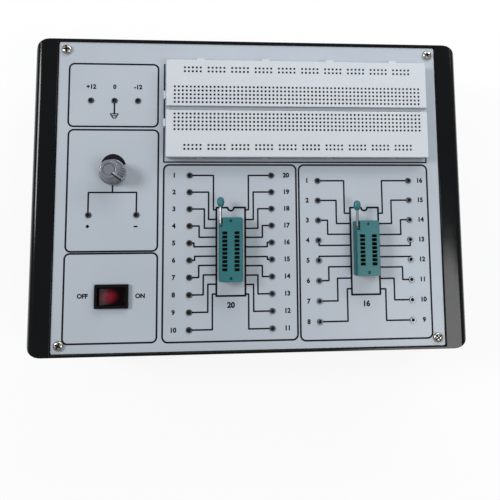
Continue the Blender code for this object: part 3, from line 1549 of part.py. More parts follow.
def build_transformer():
    place = (TRANSFORMER_CENTRE_X, TRANSFORMER_CENTRE_Y, BRACKET_BASE)
    half_stack = CORE_STACK / 2
    core_half = CORE_WIDTH / 2
    bm = bmesh.new()
    add_box(bm, (-core_half, -half_stack, 0), (core_half, half_stack, CORE_HEIGHT))
    core = mesh_object("transformer_core", bm, CORE_STEEL, place)
    window_low = (CORE_HEIGHT - CORE_WINDOW_HEIGHT) / 2
    window_high = window_low + CORE_WINDOW_HEIGHT

    def windows(bm):
        for side in SIGNS:
            near = side * CORE_LEG_WIDTH / 2
            far = side * (CORE_LEG_WIDTH / 2 + CORE_WINDOW_WIDTH)
            add_box(
                bm,
                (min(near, far), -half_stack - CUT_OVERRUN, window_low),
                (max(near, far), half_stack + CUT_OVERRUN, window_high),
            )

    cut(core, "windows", windows)
    leg = CORE_LEG_WIDTH / 2 + CLEARANCE
    outer_x = CORE_LEG_WIDTH / 2 + CORE_WINDOW_WIDTH - CLEARANCE
    inner_y = half_stack + CLEARANCE
    bm = bmesh.new()
    add_box(
        bm,
        (-outer_x, -inner_y - WINDING_BUILD, window_low + CLEARANCE),
        (outer_x, inner_y + WINDING_BUILD, window_high - CLEARANCE),
    )
    winding = mesh_object("transformer_winding", bm, TAPE, place)
    cut(
        winding,
        "leg_room",
        lambda bm: add_box(
            bm,
            (-leg, -inner_y, window_low - CUT_OVERRUN),
            (leg, inner_y, window_high + CUT_OVERRUN),
        ),
    )
    build_bracket(place)


def build_bracket(place):
    inner = CORE_WIDTH / 2 + CLEARANCE
    outer = inner + BRACKET_THICKNESS
    foot = outer + BRACKET_FOOT_LENGTH
    top = CORE_HEIGHT + CLEARANCE + BRACKET_THICKNESS
    outline = [
        (-foot, 0),
        (-inner, 0),
        (-inner, CORE_HEIGHT + CLEARANCE),
        (inner, CORE_HEIGHT + CLEARANCE),
        (inner, 0),
        (foot, 0),
        (foot, BRACKET_THICKNESS),
        (outer, BRACKET_THICKNESS),
        (outer, top),
        (-outer, top),
        (-outer, BRACKET_THICKNESS),
        (-foot, BRACKET_THICKNESS),
    ]
    bracket = outline_object("transformer_bracket", outline, CORE_STACK, STEEL)
    bracket.location = place

    def screw_holes(bm):
        for side in SIGNS:
            add_cylinder(
                bm,
                (side * BRACKET_SCREW_OFFSET, 0),
                BRACKET_SCREW_RADIUS + CLEARANCE,
                -CUT_OVERRUN,
                BRACKET_THICKNESS + CUT_OVERRUN,
                12,
            )

    cut(bracket, "screw_holes", screw_holes)
    for number, side in enumerate(SIGNS, start=1):
        turned(
            f"transformer_screw_{number}",
            screw_profile(
                BRACKET_SCREW_HEAD_RADIUS,
                BRACKET_SCREW_HEAD_HEIGHT,
                BRACKET_SCREW_RADIUS,
                BRACKET_SCREW_LENGTH,
            ),
            STEEL,
            (
                place[0] + side * BRACKET_SCREW_OFFSET,
                place[1],
                place[2] + BRACKET_THICKNESS + CLEARANCE,
            ),
            12,
        )


# Supply board


def build_supply_board():
    place = (SUPPLY_BOARD_CENTRE_X, SUPPLY_BOARD_CENTRE_Y, SUPPLY_BOARD_BOTTOM)
    half = Vector((SUPPLY_BOARD_LENGTH / 2, SUPPLY_BOARD_WIDTH / 2, 0))
    bm = bmesh.new()
    add_box(bm, -half, half + Vector((0, 0, SUPPLY_BOARD_THICKNESS)))
    board = mesh_object("supply_board", bm, CIRCUIT_BOARD, place)

    def pin_holes(bm):
        for sx, sy in QUADRANTS:
            centre = (
                sx * (SUPPLY_BOARD_LENGTH / 2 - STANDOFF_INSET),
                sy * (SUPPLY_BOARD_WIDTH / 2 - STANDOFF_INSET),
            )
            add_cylinder(
                bm,
                centre,
                STANDOFF_PIN_RADIUS + CLEARANCE,
                -CUT_OVERRUN,
                SUPPLY_BOARD_THICKNESS + CUT_OVERRUN,
                8,
            )

    cut(board, "pin_holes", pin_holes)
    top = Vector((SUPPLY_BOARD_CENTRE_X, SUPPLY_BOARD_CENTRE_Y, SUPPLY_BOARD_TOP + CLEARANCE))
    build_capacitors(top)
    build_regulators_and_heatsink(top)
    build_rectifier(top)
    build_fuse(top)


def build_capacitors(top):
    y = -SUPPLY_BOARD_WIDTH * CAPACITOR_ROW_SHARE
    for number, side in enumerate(SIGNS, start=1):
        turned(
            f"smoothing_capacitor_{number}",
            [
                (0, CAPACITOR_HEIGHT),
                (CAPACITOR_RADIUS - CAPACITOR_ROUND, CAPACITOR_HEIGHT),
                (CAPACITOR_RADIUS, CAPACITOR_HEIGHT - CAPACITOR_ROUND),
                (CAPACITOR_RADIUS, 0),
                (0, 0),
            ],
            BLUE_SLEEVE,
            top + Vector((side * CAPACITOR_SPACING / 2, y, 0)),
            16,
        )


def build_regulators_and_heatsink(top):
    front = SUPPLY_BOARD_WIDTH * HEATSINK_ROW_SHARE
    half = HEATSINK_LENGTH / 2
    bm = bmesh.new()
    add_box(bm, (-half, 0, 0), (half, HEATSINK_PLATE, HEATSINK_HEIGHT))
    heatsink = mesh_object("heatsink", bm, ALUMINIUM, top + Vector((0, front, 0)))

    def fins(bm):
        for n in range(HEATSINK_FIN_COUNT):
            x = (n / (HEATSINK_FIN_COUNT - 1) - 1 / 2) * (HEATSINK_LENGTH - HEATSINK_FIN_THICKNESS)
            x = x * FIN_SPREAD_SHARE
            add_box(
                bm,
                (x - HEATSINK_FIN_THICKNESS / 2, HEATSINK_PLATE - JOIN_OVERLAP, 0),
                (
                    x + HEATSINK_FIN_THICKNESS / 2,
                    HEATSINK_PLATE + HEATSINK_FIN_DEPTH,
                    HEATSINK_HEIGHT,
                ),
            )

    join(heatsink, "fins", fins)
    for number, n in enumerate((-1, 0, 1), start=1):
        place = top + Vector((n * REGULATOR_SPACING, front - CLEARANCE, 0))
        build_regulator(f"regulator_{number}", place)


def build_regulator(name, place):
    """A three-lead power package whose metal tab bears on the heatsink."""
    half = REGULATOR_WIDTH / 2
    body_low = REGULATOR_LEAD_HEIGHT
    body_high = body_low + REGULATOR_BODY_HEIGHT
    tab = REGULATOR_TAB_THICKNESS
    bm = bmesh.new()
    add_box(bm, (-half, -tab, body_low), (half, 0, body_high + REGULATOR_TAB_HEIGHT))
    regulator = mesh_object(name, bm, DARK_EPOXY, place)

    def body(bm):
        add_box(
            bm, (-half, -tab - REGULATOR_BODY_DEPTH, body_low), (half, JOIN_OVERLAP - tab, body_high)
        )

    join(regulator, "body", body)

    def leads(bm):
        middle = -tab - REGULATOR_BODY_DEPTH / 2
        add_box(
            bm,
            (-REGULATOR_LEAD_WIDTH / 2, middle - REGULATOR_LEAD_THICKNESS / 2, 0),
            (
                REGULATOR_LEAD_WIDTH / 2,
                middle + REGULATOR_LEAD_THICKNESS / 2,
                body_low + JOIN_OVERLAP,
            ),
        )

    join(regulator, "leads", leads)


def build_rectifier(top):
    x = RECTIFIER_PLACE_SHARES[0] * SUPPLY_BOARD_LENGTH
    y = RECTIFIER_PLACE_SHARES[1] * SUPPLY_BOARD_WIDTH
    bm = bmesh.new()
    add_slab(bm, (0, 0), RECTIFIER_SIZE, RECTIFIER_SIZE, 0, RECTIFIER_HEIGHT, RECTIFIER_CORNER, 1)
    mesh_object("rectifier", bm, DARK_EPOXY, top + Vector((x, y, 0)))


def build_fuse(top):
    """A glass fuse along Y, gripped by the two clips of its holder."""
    x = FUSE_PLACE_SHARES[0] * SUPPLY_BOARD_LENGTH
    y = FUSE_PLACE_SHARES[1] * SUPPLY_BOARD_WIDTH
    place = top + Vector((x, y, 0))
    half_length = FUSE_LENGTH / 2
    half_width = FUSE_HOLDER_WIDTH / 2
    bm = bmesh.new()
    add_box(bm, (-half_width, -half_length, 0), (half_width, half_length, FUSE_HOLDER_BASE))
    holder = mesh_object("fuse_holder", bm, DARK_EPOXY, place)
    cap_radius = FUSE_RADIUS + FUSE_CAP_THICKNESS
    near = cap_radius + CLEARANCE

    def clips(bm):
        for side_y in SIGNS:
            centre_y = side_y * (half_length - FUSE_CLIP_LENGTH / 2)
            for side_x in SIGNS:
                xs = sorted((side_x * near, side_x * (near + FUSE_CLIP_THICKNESS)))
                add_box(
                    bm,
                    (xs[0], centre_y - FUSE_CLIP_LENGTH / 2, FUSE_HOLDER_BASE - JOIN_OVERLAP),
                    (xs[1], centre_y + FUSE_CLIP_LENGTH / 2, FUSE_HOLDER_BASE + FUSE_CLIP_RISE),
                )

    join(holder, "clips", clips)
    inner = FUSE_CAP_LENGTH
    fuse = turned(
        "fuse",
        [
            (0, half_length),
            (cap_radius, half_length),
            (cap_radius, half_length - inner),
            (FUSE_RADIUS, half_length - inner),
            (FUSE_RADIUS, inner - half_length),
            (cap_radius, inner - half_length),
            (cap_radius, -half_length),
            (0, -half_length),
        ],
        STEEL,
        place + Vector((0, 0, FUSE_HOLDER_BASE + cap_radius + CLEARANCE)),
        12,
    )
    fuse.rotation_euler = (pi / 2, 0, 0)


# Wires


def build_wires():
    """Insulated wires from the inlet to the switch, and from the switch to the transformer."""
    terminal_low = PANEL_TOP - SWITCH_BODY_DEPTH - SWITCH_TERMINAL_REACH - WIRE_END_GAP
    middle, left = switch_terminal_offsets()
    inlet_tab = CASE_DEPTH / 2 - CLEARANCE - INLET_DEPTH - INLET_TAB_LENGTH
    lead = WIRE_LEAD_SHARE * CASE_DEPTH
    lie = FLOOR_TOP + WIRE_RADIUS + CLEARANCE
    start = (INLET_CENTRE_X + INLET_PIN_PITCH, inlet_tab - WIRE_END_GAP, INLET_CENTRE_Z)
    end = (SWITCH_CENTRE_X + left, SWITCH_CENTRE_Y, terminal_low)
    route = [
        start,
        (start[0], start[1] - lead, start[2]),
        (start[0], start[1] - 3 * lead, lie),
        (start[0], SUPPLY_BOARD_CENTRE_Y, lie),
        (end[0], end[1] + lead, lie),
        (end[0], end[1], lie),
        (end[0], end[1], end[2] - lead),
        end,
    ]
    tube("inlet_wire", smooth_path(route, WIRE_SMOOTH_STEPS), WIRE_RADIUS, WIRE_SLEEVE)
    winding_face = TRANSFORMER_CENTRE_Y - CORE_STACK / 2 - CLEARANCE - WINDING_BUILD
    start = (SWITCH_CENTRE_X + middle, SWITCH_CENTRE_Y, terminal_low)
    end = (TRANSFORMER_CENTRE_X, winding_face - WIRE_END_GAP, BRACKET_BASE + CORE_HEIGHT / 2)
    route = [
        start,
        (start[0], start[1], start[2] - lead),
        (start[0] + lead, start[1], lie),
        ((start[0] + end[0]) / 2, start[1] / 2, lie),
        (end[0], end[1] - 3 * lead, lie),
        (end[0], end[1] - 2 * lead, end[2]),
        end,
    ]
    tube("transformer_wire", smooth_path(route, WIRE_SMOOTH_STEPS), WIRE_RADIUS, WIRE_SLEEVE)


clear_scene()
PARTS = new_collection("linear_ic_trainer")
CUTTERS = new_collection("cutters")
BLACK_PLASTIC = make_material("black_plastic", (0.012, 0.012, 0.014), 0.35)
PANEL_PAINT = make_material("panel_paint", (0.46, 0.50, 0.56), 0.45)
WHITE_PLASTIC = make_material("white_plastic", (0.72, 0.75, 0.78), 0.5)
GREEN_PLASTIC = make_material("green_plastic", (0.06, 0.22, 0.22), 0.4)
GREY_PLASTIC = make_material("grey_plastic", (0.16, 0.17, 0.19), 0.4)
RED_PLASTIC = make_material("red_plastic", (0.20, 0.01, 0.015), 0.2)
RUBBER = make_material("rubber", (0.02, 0.02, 0.02), 0.8)
FOAM = make_material("foam", (0.6, 0.6, 0.58), 0.9)
STEEL = make_material("steel", (0.55, 0.55, 0.56), 0.3, 1.0)
BRASS = make_material("brass", (0.70, 0.52, 0.25), 0.3, 1.0)
ALUMINIUM = make_material("aluminium", (0.75, 0.76, 0.77), 0.35, 1.0)
CORE_STEEL = make_material("core_steel", (0.20, 0.20, 0.21), 0.5, 0.8)
TAPE = make_material("tape", (0.75, 0.55, 0.10), 0.5)
CIRCUIT_BOARD = make_material("circuit_board", (0.05, 0.22, 0.10), 0.4)
DARK_EPOXY = make_material("dark_epoxy", (0.02, 0.02, 0.02), 0.5)
BLUE_SLEEVE = make_material("blue_sleeve", (0.03, 0.06, 0.25), 0.4)
WIRE_SLEEVE = make_material("wire_sleeve", (0.02, 0.05, 0.35), 0.45)

build_lower_case()
build_upper_case()
build_feet_and_case_screws()
build_panel()
for board_name, board_places in socket_places().items():
    build_terminal_board(board_name, board_places)
build_breadboard()
for zif_name, zif_x, zif_pins in ZIFS:
    build_zif(zif_name, zif_x, zif_pins)
build_potentiometer()
build_knob()
build_switch()
build_inlet()
build_transformer()
build_supply_board()
build_wires()
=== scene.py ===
# %% [markdown]
# # Dressing a bench trainer for linear integrated circuits
#
# The trainer is a black two-part case with a pale printed panel. On the panel are a
# solderless breadboard, two zero-insertion-force sockets with green bodies, groups of
# patch sockets, a supply knob and a power rocker.
#
# The solids come in as a fixed frame: each one already has its place, in metres, with
# +X to the right, +Y to the rear and +Z up. This script gives them finishes, and puts
# finer pieces where a solid is too plain.

# %% Load the fixed frame
import json
from math import atan2, cos, hypot, pi, radians, sin

import bmesh
import bpy
from mathutils import Matrix, Vector


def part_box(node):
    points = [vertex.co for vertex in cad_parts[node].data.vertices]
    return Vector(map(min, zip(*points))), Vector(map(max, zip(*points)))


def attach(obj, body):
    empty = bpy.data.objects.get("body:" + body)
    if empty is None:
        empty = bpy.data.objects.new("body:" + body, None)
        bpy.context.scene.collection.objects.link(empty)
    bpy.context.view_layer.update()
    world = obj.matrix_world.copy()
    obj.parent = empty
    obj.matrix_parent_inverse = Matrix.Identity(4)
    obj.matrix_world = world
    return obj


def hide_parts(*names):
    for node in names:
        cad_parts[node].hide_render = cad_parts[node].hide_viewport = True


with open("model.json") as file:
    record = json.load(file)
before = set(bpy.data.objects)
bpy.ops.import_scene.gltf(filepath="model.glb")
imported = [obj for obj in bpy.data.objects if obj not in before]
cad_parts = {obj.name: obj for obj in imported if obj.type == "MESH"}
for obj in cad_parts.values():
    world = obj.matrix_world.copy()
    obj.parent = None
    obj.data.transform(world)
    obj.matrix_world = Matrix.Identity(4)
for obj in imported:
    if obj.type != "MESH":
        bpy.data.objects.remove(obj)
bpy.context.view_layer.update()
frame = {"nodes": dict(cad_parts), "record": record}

MM = 0.001
solids = frame["nodes"]
bodies = frame["record"]["behaviour"]["bodies"]
body_of = {node: body for body, members in bodies.items() for node in members}
slot_of = {node: solid.data.materials[0].name.split(".")[0] for node, solid in solids.items()}

# %% [markdown]
# ## Places that the solids give
#
# Every finer piece takes its place from the solid it stands on or replaces, so nothing
# floats and nothing has to be fitted by eye.

# %% Measure the solids
def span(node):
    """A solid's lowest corner, highest corner and middle."""
    low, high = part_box(node)
    return low, high, (low + high) / 2


panel_low, panel_high, _ = span("control_panel")
PANEL_TOP = panel_high.z
BOARD_MARGIN = 4.5 * MM
ZIF_PINS = {"zif20": 20, "zif16": 16}
PIN_PITCH = 2.54 * MM
PIN_ROW_SPACING = 7.62 * MM


def columns_of(board, count):
    """The socket centres of a terminal board: two columns, counted from the rear."""
    low, high, _ = span(board)
    left, right = low.x + BOARD_MARGIN, high.x - BOARD_MARGIN
    rear, front = high.y - BOARD_MARGIN, low.y + BOARD_MARGIN
    step = (rear - front) / (count - 1)
    return [[(x, rear - n * step) for n in range(count)] for x in (left, right)]


zif_columns = {zif: columns_of(f"{zif}_terminal_board", pins // 2) for zif, pins in ZIF_PINS.items()}
fixed_low, fixed_high, fixed_middle = span("fixed_supply_sockets")
variable_low, variable_high, variable_middle = span("variable_supply_sockets")
fixed_places = [
    (x, fixed_middle.y) for x in (fixed_low.x + BOARD_MARGIN, fixed_middle.x, fixed_high.x - BOARD_MARGIN)
]
variable_places = [
    (x, variable_middle.y) for x in (variable_low.x + BOARD_MARGIN, variable_high.x - BOARD_MARGIN)
]
zif_centres = {
    zif: (columns[0][0][0] / 2 + columns[1][0][0] / 2, columns[0][0][1] / 2 + columns[0][-1][1] / 2)
    for zif, columns in zif_columns.items()
}
print("panel top at", round(PANEL_TOP, 5), "m; socket middles", zif_centres)

# %% [markdown]
# ## Camera
#
# The photograph was taken from above, a little in front of the middle, with the case
# nearly filling the frame. The camera's place, turn and focal length were worked out
# from the panel's corners and the breadboard's rows of holes, whose spacing is known.

# %% Place the camera
IMAGE_SIZE = 500
FOCAL_PIXELS = 605.8
PRINCIPAL_POINT = (276.2, 181.9)
CAMERA_PLACE = Vector((-0.0172, -0.0374, 0.4628))
CAMERA_TURN = [radians(angle) for angle in (-6.51, 4.78, 0.06)]

camera_data = bpy.data.cameras.new("camera")
camera_data.sensor_width = 36
camera_data.lens = FOCAL_PIXELS * camera_data.sensor_width / IMAGE_SIZE
camera_data.shift_x = (IMAGE_SIZE / 2 - PRINCIPAL_POINT[0]) / IMAGE_SIZE
camera_data.shift_y = (PRINCIPAL_POINT[1] - IMAGE_SIZE / 2) / IMAGE_SIZE
camera = bpy.data.objects.new("camera", camera_data)
bpy.context.scene.collection.objects.link(camera)
turn_x, turn_y, turn_z = (Matrix.Rotation(angle, 4, axis) for angle, axis in zip(CAMERA_TURN, "XYZ"))
camera.matrix_world = Matrix.Translation(CAMERA_PLACE) @ (turn_z @ turn_y @ turn_x).transposed()
bpy.context.scene.camera = camera
bpy.context.scene.view_settings.view_transform = "Standard"
print("lens", round(camera_data.lens, 1), "mm")

# %% [markdown]
# ## Working with nodes
#
# Materials and Geometry Nodes trees are both made of nodes. One small class wraps a
# node's output, so that a pattern can be written as a sum: `1 - mask * 0.3` adds its
# Math nodes by itself. Every other node comes from one method, which makes its settings
# first, and then gives its sockets their values or links.

# %% A wrapper for node outputs
class Wire:
    """One output of a node in a tree. Sums on it add Math nodes."""

    def __init__(self, tree, socket=None):
        self.tree, self.socket = tree, socket

    def node(self, kind, settings=None, sockets=None, output=0):
        """Adds a node and gives the wire from one of its outputs."""
        made = self.tree.nodes.new(kind)
        for key, value in (settings or {}).items():
            if key == "stops":
                ramp = made.color_ramp
                while len(ramp.elements) < len(value):
                    ramp.elements.new(0.5)
                for element, (place, colour) in zip(ramp.elements, value):
                    element.position, element.color = place, colour
            else:
                setattr(made, key, value)
        for key, value in (sockets or {}).items():
            if isinstance(value, Wire):
                self.tree.links.new(value.socket, made.inputs[key])
            else:
                made.inputs[key].default_value = value
        return Wire(self.tree, made.outputs[output])

    def maths(self, operation, *values):
        return self.node("ShaderNodeMath", {"operation": operation}, dict(enumerate(values)))

    def __add__(self, other):
        return self.maths("ADD", self, other)

    def __sub__(self, other):
        return self.maths("SUBTRACT", self, other)

    def __mul__(self, other):
        return self.maths("MULTIPLY", self, other)

    def __rsub__(self, other):
        return self.maths("SUBTRACT", other, self)

    def __gt__(self, other):
        return self.maths("GREATER_THAN", self, other)

    def __lt__(self, other):
        return self.maths("LESS_THAN", self, other)

    __radd__ = __add__
    __rmul__ = __mul__

    def sine(self):
        return self.maths("SINE", self)

    def size(self):
        return self.maths("ABSOLUTE", self)

    def vector(self, x=0.0, y=0.0, z=0.0):
        return self.node("ShaderNodeCombineXYZ", None, {0: x, 1: y, 2: z})

    def band(self, low, high):
        """Rises from 0 to 1 as the value goes from low to high."""
        settings = {"clamp": True, "interpolation_type": "SMOOTHSTEP"}
        return self.node("ShaderNodeMapRange", settings, {0: self, 1: low, 2: high})


def linear(hex_colour):
    """A colour as it shows on a screen, turned into the numbers that shaders use."""
    parts = [int(hex_colour[n : n + 2], 16) / 255 for n in (0, 2, 4)]
    return (*(p / 12.92 if p <= 0.04045 else ((p + 0.055) / 1.055) ** 2.4 for p in parts), 1.0)


print("panel paint as shader numbers:", [round(part, 3) for part in linear("AFB6C0")])

# %% [markdown]
# ## Finishes
#
# No real surface is one flat colour. A moulded plastic has a fine grain, slightly
# uneven gloss and a colour that drifts a little over its length. All of these patterns
# are read from Object coordinates. Each piece's object stays at the origin, so those
# are metres on the real thing, and a grain size can be given in millimetres.

# %% Patterns that several finishes share
class Finish:
    """A material under a name: its plain numbers sit on the shader's own sockets."""

    def __init__(self, name, **numbers):
        self.material = bpy.data.materials.new(name)
        self.material.use_nodes = True
        tree = self.material.node_tree
        self.shader = next(n for n in tree.nodes if n.type == "BSDF_PRINCIPLED")
        self.wire = Wire(tree)
        self.place = self.wire.node("ShaderNodeTexCoord", output="Object")
        for socket, value in numbers.items():
            self.shader.inputs[socket.replace("_", " ").title().replace("Ior", "IOR")].default_value = value

    def stretched(self, scale):
        """Object coordinates, stretched for grain that runs one way."""
        return self.wire.node("ShaderNodeMapping", None, {"Vector": self.place, "Scale": scale})

    def axis(self, letter):
        """One coordinate in metres: X, Y or Z."""
        return self.wire.node("ShaderNodeSeparateXYZ", None, {0: self.place}, letter)

    def noise(self, feature, detail=3.0, roughness=0.55, place=None):
        """Cloudy noise from 0 to 1, whose features are about that many metres across."""
        return self.wire.node("ShaderNodeTexNoise", None, {
            "Vector": place or self.place, "Scale": 1 / feature, "Detail": detail, "Roughness": roughness,
        })

    def cells(self, feature):
        """Distance to the nearest of many scattered points, for grain and speckle."""
        return self.wire.node("ShaderNodeTexVoronoi", None, {"Vector": self.place, "Scale": 1 / feature})

    def mix(self, first, second, share):
        """Two colours, mixed by a share from 0 to 1."""
        settings = {"data_type": "RGBA", "blend_type": "MIX"}
        return self.wire.node("ShaderNodeMix", settings, {0: share, 6: first, 7: second}, 2)

    def feed(self, socket, wire):
        self.wire.tree.links.new(wire.socket, self.shader.inputs[socket])

    def bump(self, height, depth):
        """Relief on the surface: a height of 1 stands for that many metres."""
        self.feed("Normal", self.wire.node("ShaderNodeBump", None, {"Distance": depth, "Height": height}))


def moulded(name, shade, tint, roughness, grain=0.35 * MM, depth=0.012 * MM, drift=30 * MM, **numbers):
    """A moulded plastic: a slow drift of colour, fine grain, and gloss that varies a little."""
    finish = Finish(name, **numbers)
    cloud = finish.noise(drift, 2.0)
    fleck = finish.noise(grain * 2.4, 2.0)
    finish.feed("Base Color", finish.mix(linear(shade), linear(tint), cloud * 0.7 + fleck * 0.3))
    finish.feed("Roughness", roughness - 0.06 + 0.12 * finish.noise(6 * MM, 4.0))
    finish.bump(finish.noise(grain, 4.0), depth)
    return finish.material


def metal(name, shade, tint, roughness, along):
    """A bright metal with fine drawing lines along one direction and faint tarnish."""
    finish = Finish(name, metallic=1.0)
    lines = finish.noise(1.0, 3.0, place=finish.stretched(along))
    tarnish = finish.noise(4 * MM, 4.0)
    finish.feed("Base Color", finish.mix(linear(shade), linear(tint), tarnish))
    finish.feed("Roughness", roughness - 0.08 + 0.1 * lines + 0.1 * tarnish)
    finish.bump(lines, 0.004 * MM)
    return finish.material


finishes = {}
print("patterns ready")

# %% [markdown]
# ### Case, panel and breadboard
#
# The case is black moulded plastic with a fine spark-eroded grain and a soft gloss. The
# panel is a plate with a smooth blue-grey paint. The breadboard is off-white nylon.

# %% Case plastic, panel paint and breadboard plastic
def case_plastic():
    finish = Finish("case_plastic", ior=1.5, specular_ior_level=0.26)
    cloud = finish.noise(45 * MM, 3.0)
    finish.feed("Base Color", finish.mix(linear("060708"), linear("0D0E10"), cloud))
    wear = finish.noise(9 * MM, 5.0, 0.65)
    finish.feed("Roughness", 0.08 + 0.1 * wear)
    grain = finish.cells(0.45 * MM) + finish.noise(0.25 * MM, 3.0)
    finish.bump(grain, 0.005 * MM)
    return finish.material


def panel_paint():
    finish = Finish("panel_paint", ior=1.45)
    cloud = finish.noise(60 * MM, 2.0)
    fleck = finish.noise(0.6 * MM, 3.0)
    base = finish.mix(linear("A3ABB4"), linear("AFB7C0"), cloud)
    finish.feed("Base Color", finish.mix(base, linear("959DA8"), fleck.band(0.58, 0.8) * 0.35))
    finish.feed("Roughness", 0.3 + 0.1 * finish.noise(12 * MM, 4.0))
    finish.bump(finish.noise(0.5 * MM, 4.0), 0.006 * MM)
    return finish.material


def breadboard_plastic():
    """Off-white nylon, with painted shade down its middle groove and near black deep in its contact holes."""
    finish = Finish("breadboard_plastic", ior=1.5)
    cloud = finish.noise(25 * MM, 3.0)
    base = finish.mix(linear("B8BFC6"), linear("C5C9CD"), cloud)
    low, high, middle = span("breadboard_body")
    half_length, half_width = (high.x - low.x) / 2, (high.y - low.y) / 2
    depth = high.z - finish.axis("Z")
    along = (finish.axis("X") - middle.x).size()
    across = (finish.axis("Y") - middle.y).size()
    # Painted shade: greyer down in the middle groove, near black deep in the contact holes.
    in_field = (along < half_length - 3.4 * MM) * (across > 1.6 * MM) * (across < half_width - 3.0 * MM)
    in_groove = (across < 1.45 * MM) * depth.band(0.7 * MM, 1.9 * MM)
    in_hole = depth.band(0.25 * MM, 1.2 * MM) * in_field
    groove_shade = finish.mix(base, linear("8F99A4"), in_groove * 0.7)
    finish.feed("Base Color", finish.mix(groove_shade, linear("1E2024"), in_hole))
    finish.feed("Roughness", 0.42 + 0.12 * finish.noise(8 * MM, 4.0))
    finish.bump(finish.noise(0.4 * MM, 3.0), 0.008 * MM)
    return finish.material


finishes["black_plastic"] = case_plastic()
finishes["panel_paint"] = panel_paint()
finishes["white_plastic"] = breadboard_plastic()
print("made", sorted(finishes))

# %% [markdown]
# ### Green, grey and red mouldings
#
# The zero-insertion-force sockets are blue-green, the knob is mid grey and the rocker is
# a clear deep red; a glow painted into its colour stands for the little light that
# passes through it.

# %% Socket green, knob grey and rocker red
def socket_green():
    """Blue-green moulding, with near-black painted shade deep inside the contact slots."""
    finish = Finish("socket_green", ior=1.5)
    cloud = finish.noise(12 * MM, 3.0)
    base = finish.mix(linear("1C5A5F"), linear("276E73"), cloud)
    inside = None
    for zif, (x, y) in zif_centres.items():
        reach = (ZIF_PINS[zif] // 2 - 1) * PIN_PITCH / 2 + 0.9 * MM
        across = (finish.axis("X") - x).size()
        along = (finish.axis("Y") - y).size()
        slot = (across > 2.0 * MM) * (across < 5.6 * MM) * (along < reach)
        inside = slot if inside is None else inside + slot
    # Painted shade: near black deep inside the contact slots.
    deep = (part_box("zif20_cover")[1].z - finish.axis("Z")).band(0.2 * MM, 0.7 * MM)
    finish.feed("Base Color", finish.mix(base, linear("050808"), inside * deep))
    finish.feed("Roughness", 0.3 + 0.12 * finish.noise(6 * MM, 4.0))
    finish.bump(finish.noise(0.3 * MM, 4.0), 0.01 * MM)
    return finish.material


def rocker_red():
    """Clear red moulding, with a painted glow over its lamp and painted shade towards its ends and corners."""
    finish = Finish("rocker_red", ior=1.5, specular_ior_level=0.07)
    low, high, middle = span("switch_rocker")
    # The glow and the dark ends are painted light and shade, laid over the moulding's own prism texture.
    painted_glow_x = low.x + (high.x - low.x) * 0.43
    squash = 0.85
    away = finish.wire.node(
        "ShaderNodeVectorMath",
        {"operation": "DISTANCE"},
        {0: finish.stretched((squash, 1, 0)), 1: (painted_glow_x * squash, middle.y, 0)},
        "Value",
    )
    prism = finish.cells(0.9 * MM)
    cloud = finish.noise(2.2 * MM, 3.0)
    lit = finish.mix(linear("32060C"), linear("741727"), (prism + cloud * 0.5).band(0.2, 0.9))
    finish.feed("Base Color", finish.mix(lit, linear("0C0306"), away.band(0.8 * MM, 5.6 * MM)))
    finish.feed("Roughness", 0.14 + 0.1 * cloud)
    finish.bump(prism + cloud * 0.5, 0.02 * MM)
    return finish.material


finishes["green_plastic"] = socket_green()
finishes["red_plastic"] = rocker_red()
finishes["grey_plastic"] = moulded(
    "knob_grey", "62656D", "74777F", 0.26, 0.25 * MM,
    drift=8 * MM, ior=1.5, coat_weight=0.6, coat_roughness=0.14,
)
lever_steel = metal("lever_steel", "85868A", "6E6F73", 0.34, along=(3000, 60, 3000))
pointer_grey = moulded("pointer_grey", "9C9FA6", "AEB1B8", 0.24, 0.25 * MM, drift=8 * MM, ior=1.5)

# By slot: name, shade, tint, roughness, grain and relief in millimetres, index of refraction
OTHER_MOULDINGS = {
    "rubber": ("foot_rubber", "17181A", "222325", 0.78, 0.5, 0.03, 1.5),
    "foam": ("backing_foam", "B9B49F", "CFCBB8", 0.9, 0.6, 0.08, 1.4),
    "dark_epoxy": ("moulded_epoxy", "1B1C1E", "2A2B2D", 0.5, 0.2, 0.01, 1.5),
    "blue_sleeve": ("capacitor_sleeve", "1B2F5E", "24407A", 0.3, 1.5, 0.01, 1.5),
    "wire_sleeve": ("wire_sleeve", "5A1D18", "7A2A22", 0.45, 0.8, 0.01, 1.5),
}
for slot, (name, shade, tint, roughness, grain, relief, ior) in OTHER_MOULDINGS.items():
    finishes[slot] = moulded(name, shade, tint, roughness, grain * MM, relief * MM, ior=ior)
print("made", sorted(finishes))

# %% [markdown]
# ### Metals
#
# Plated steel for screws and lever rods, brass for shafts and contacts, aluminium for
# the heatsink. Drawn or turned metal keeps fine lines along its length.

# %% Steel, brass and aluminium
finishes["steel"] = metal("plated_steel", "CFCCC2", "A9A79F", 0.24, along=(3000, 60, 3000))
# Near-black plastic for painted shade: the discs in the socket bores, the crosses in the screw recesses and
# the strip beside the knob's pointer.
recess_black = moulded(
    "recess_shade", "0E0E0D", "1A1918", 0.6, 0.2 * MM, 0.01 * MM, ior=1.45, specular_ior_level=0.2
)
finishes["brass"] = metal("brass", "B08D45", "8F7238", 0.3, along=(3000, 3000, 80))
finishes["aluminium"] = metal("extruded_aluminium", "B4B6B8", "8F9194", 0.38, along=(60, 4000, 3000))
nickel = metal("nickel_plate", "85878C", "5E6165", 0.26, along=(900, 900, 900))
# The contacts' bronze is painted near black: it stands for the shade deep in the holes and slots where they
# sit.
bronze_painted_dark = metal("contact_bronze", "2A2620", "1E1B17", 0.45, along=(900, 900, 2000))
print("made", sorted(finishes))

# %% [markdown]
# ### Inner parts
#
# The transformer's core is a stack of thin sheets, so its steel shows fine lines. Its
# winding is wrapped in tape, turn over turn. The boards have a green lacquer over copper.

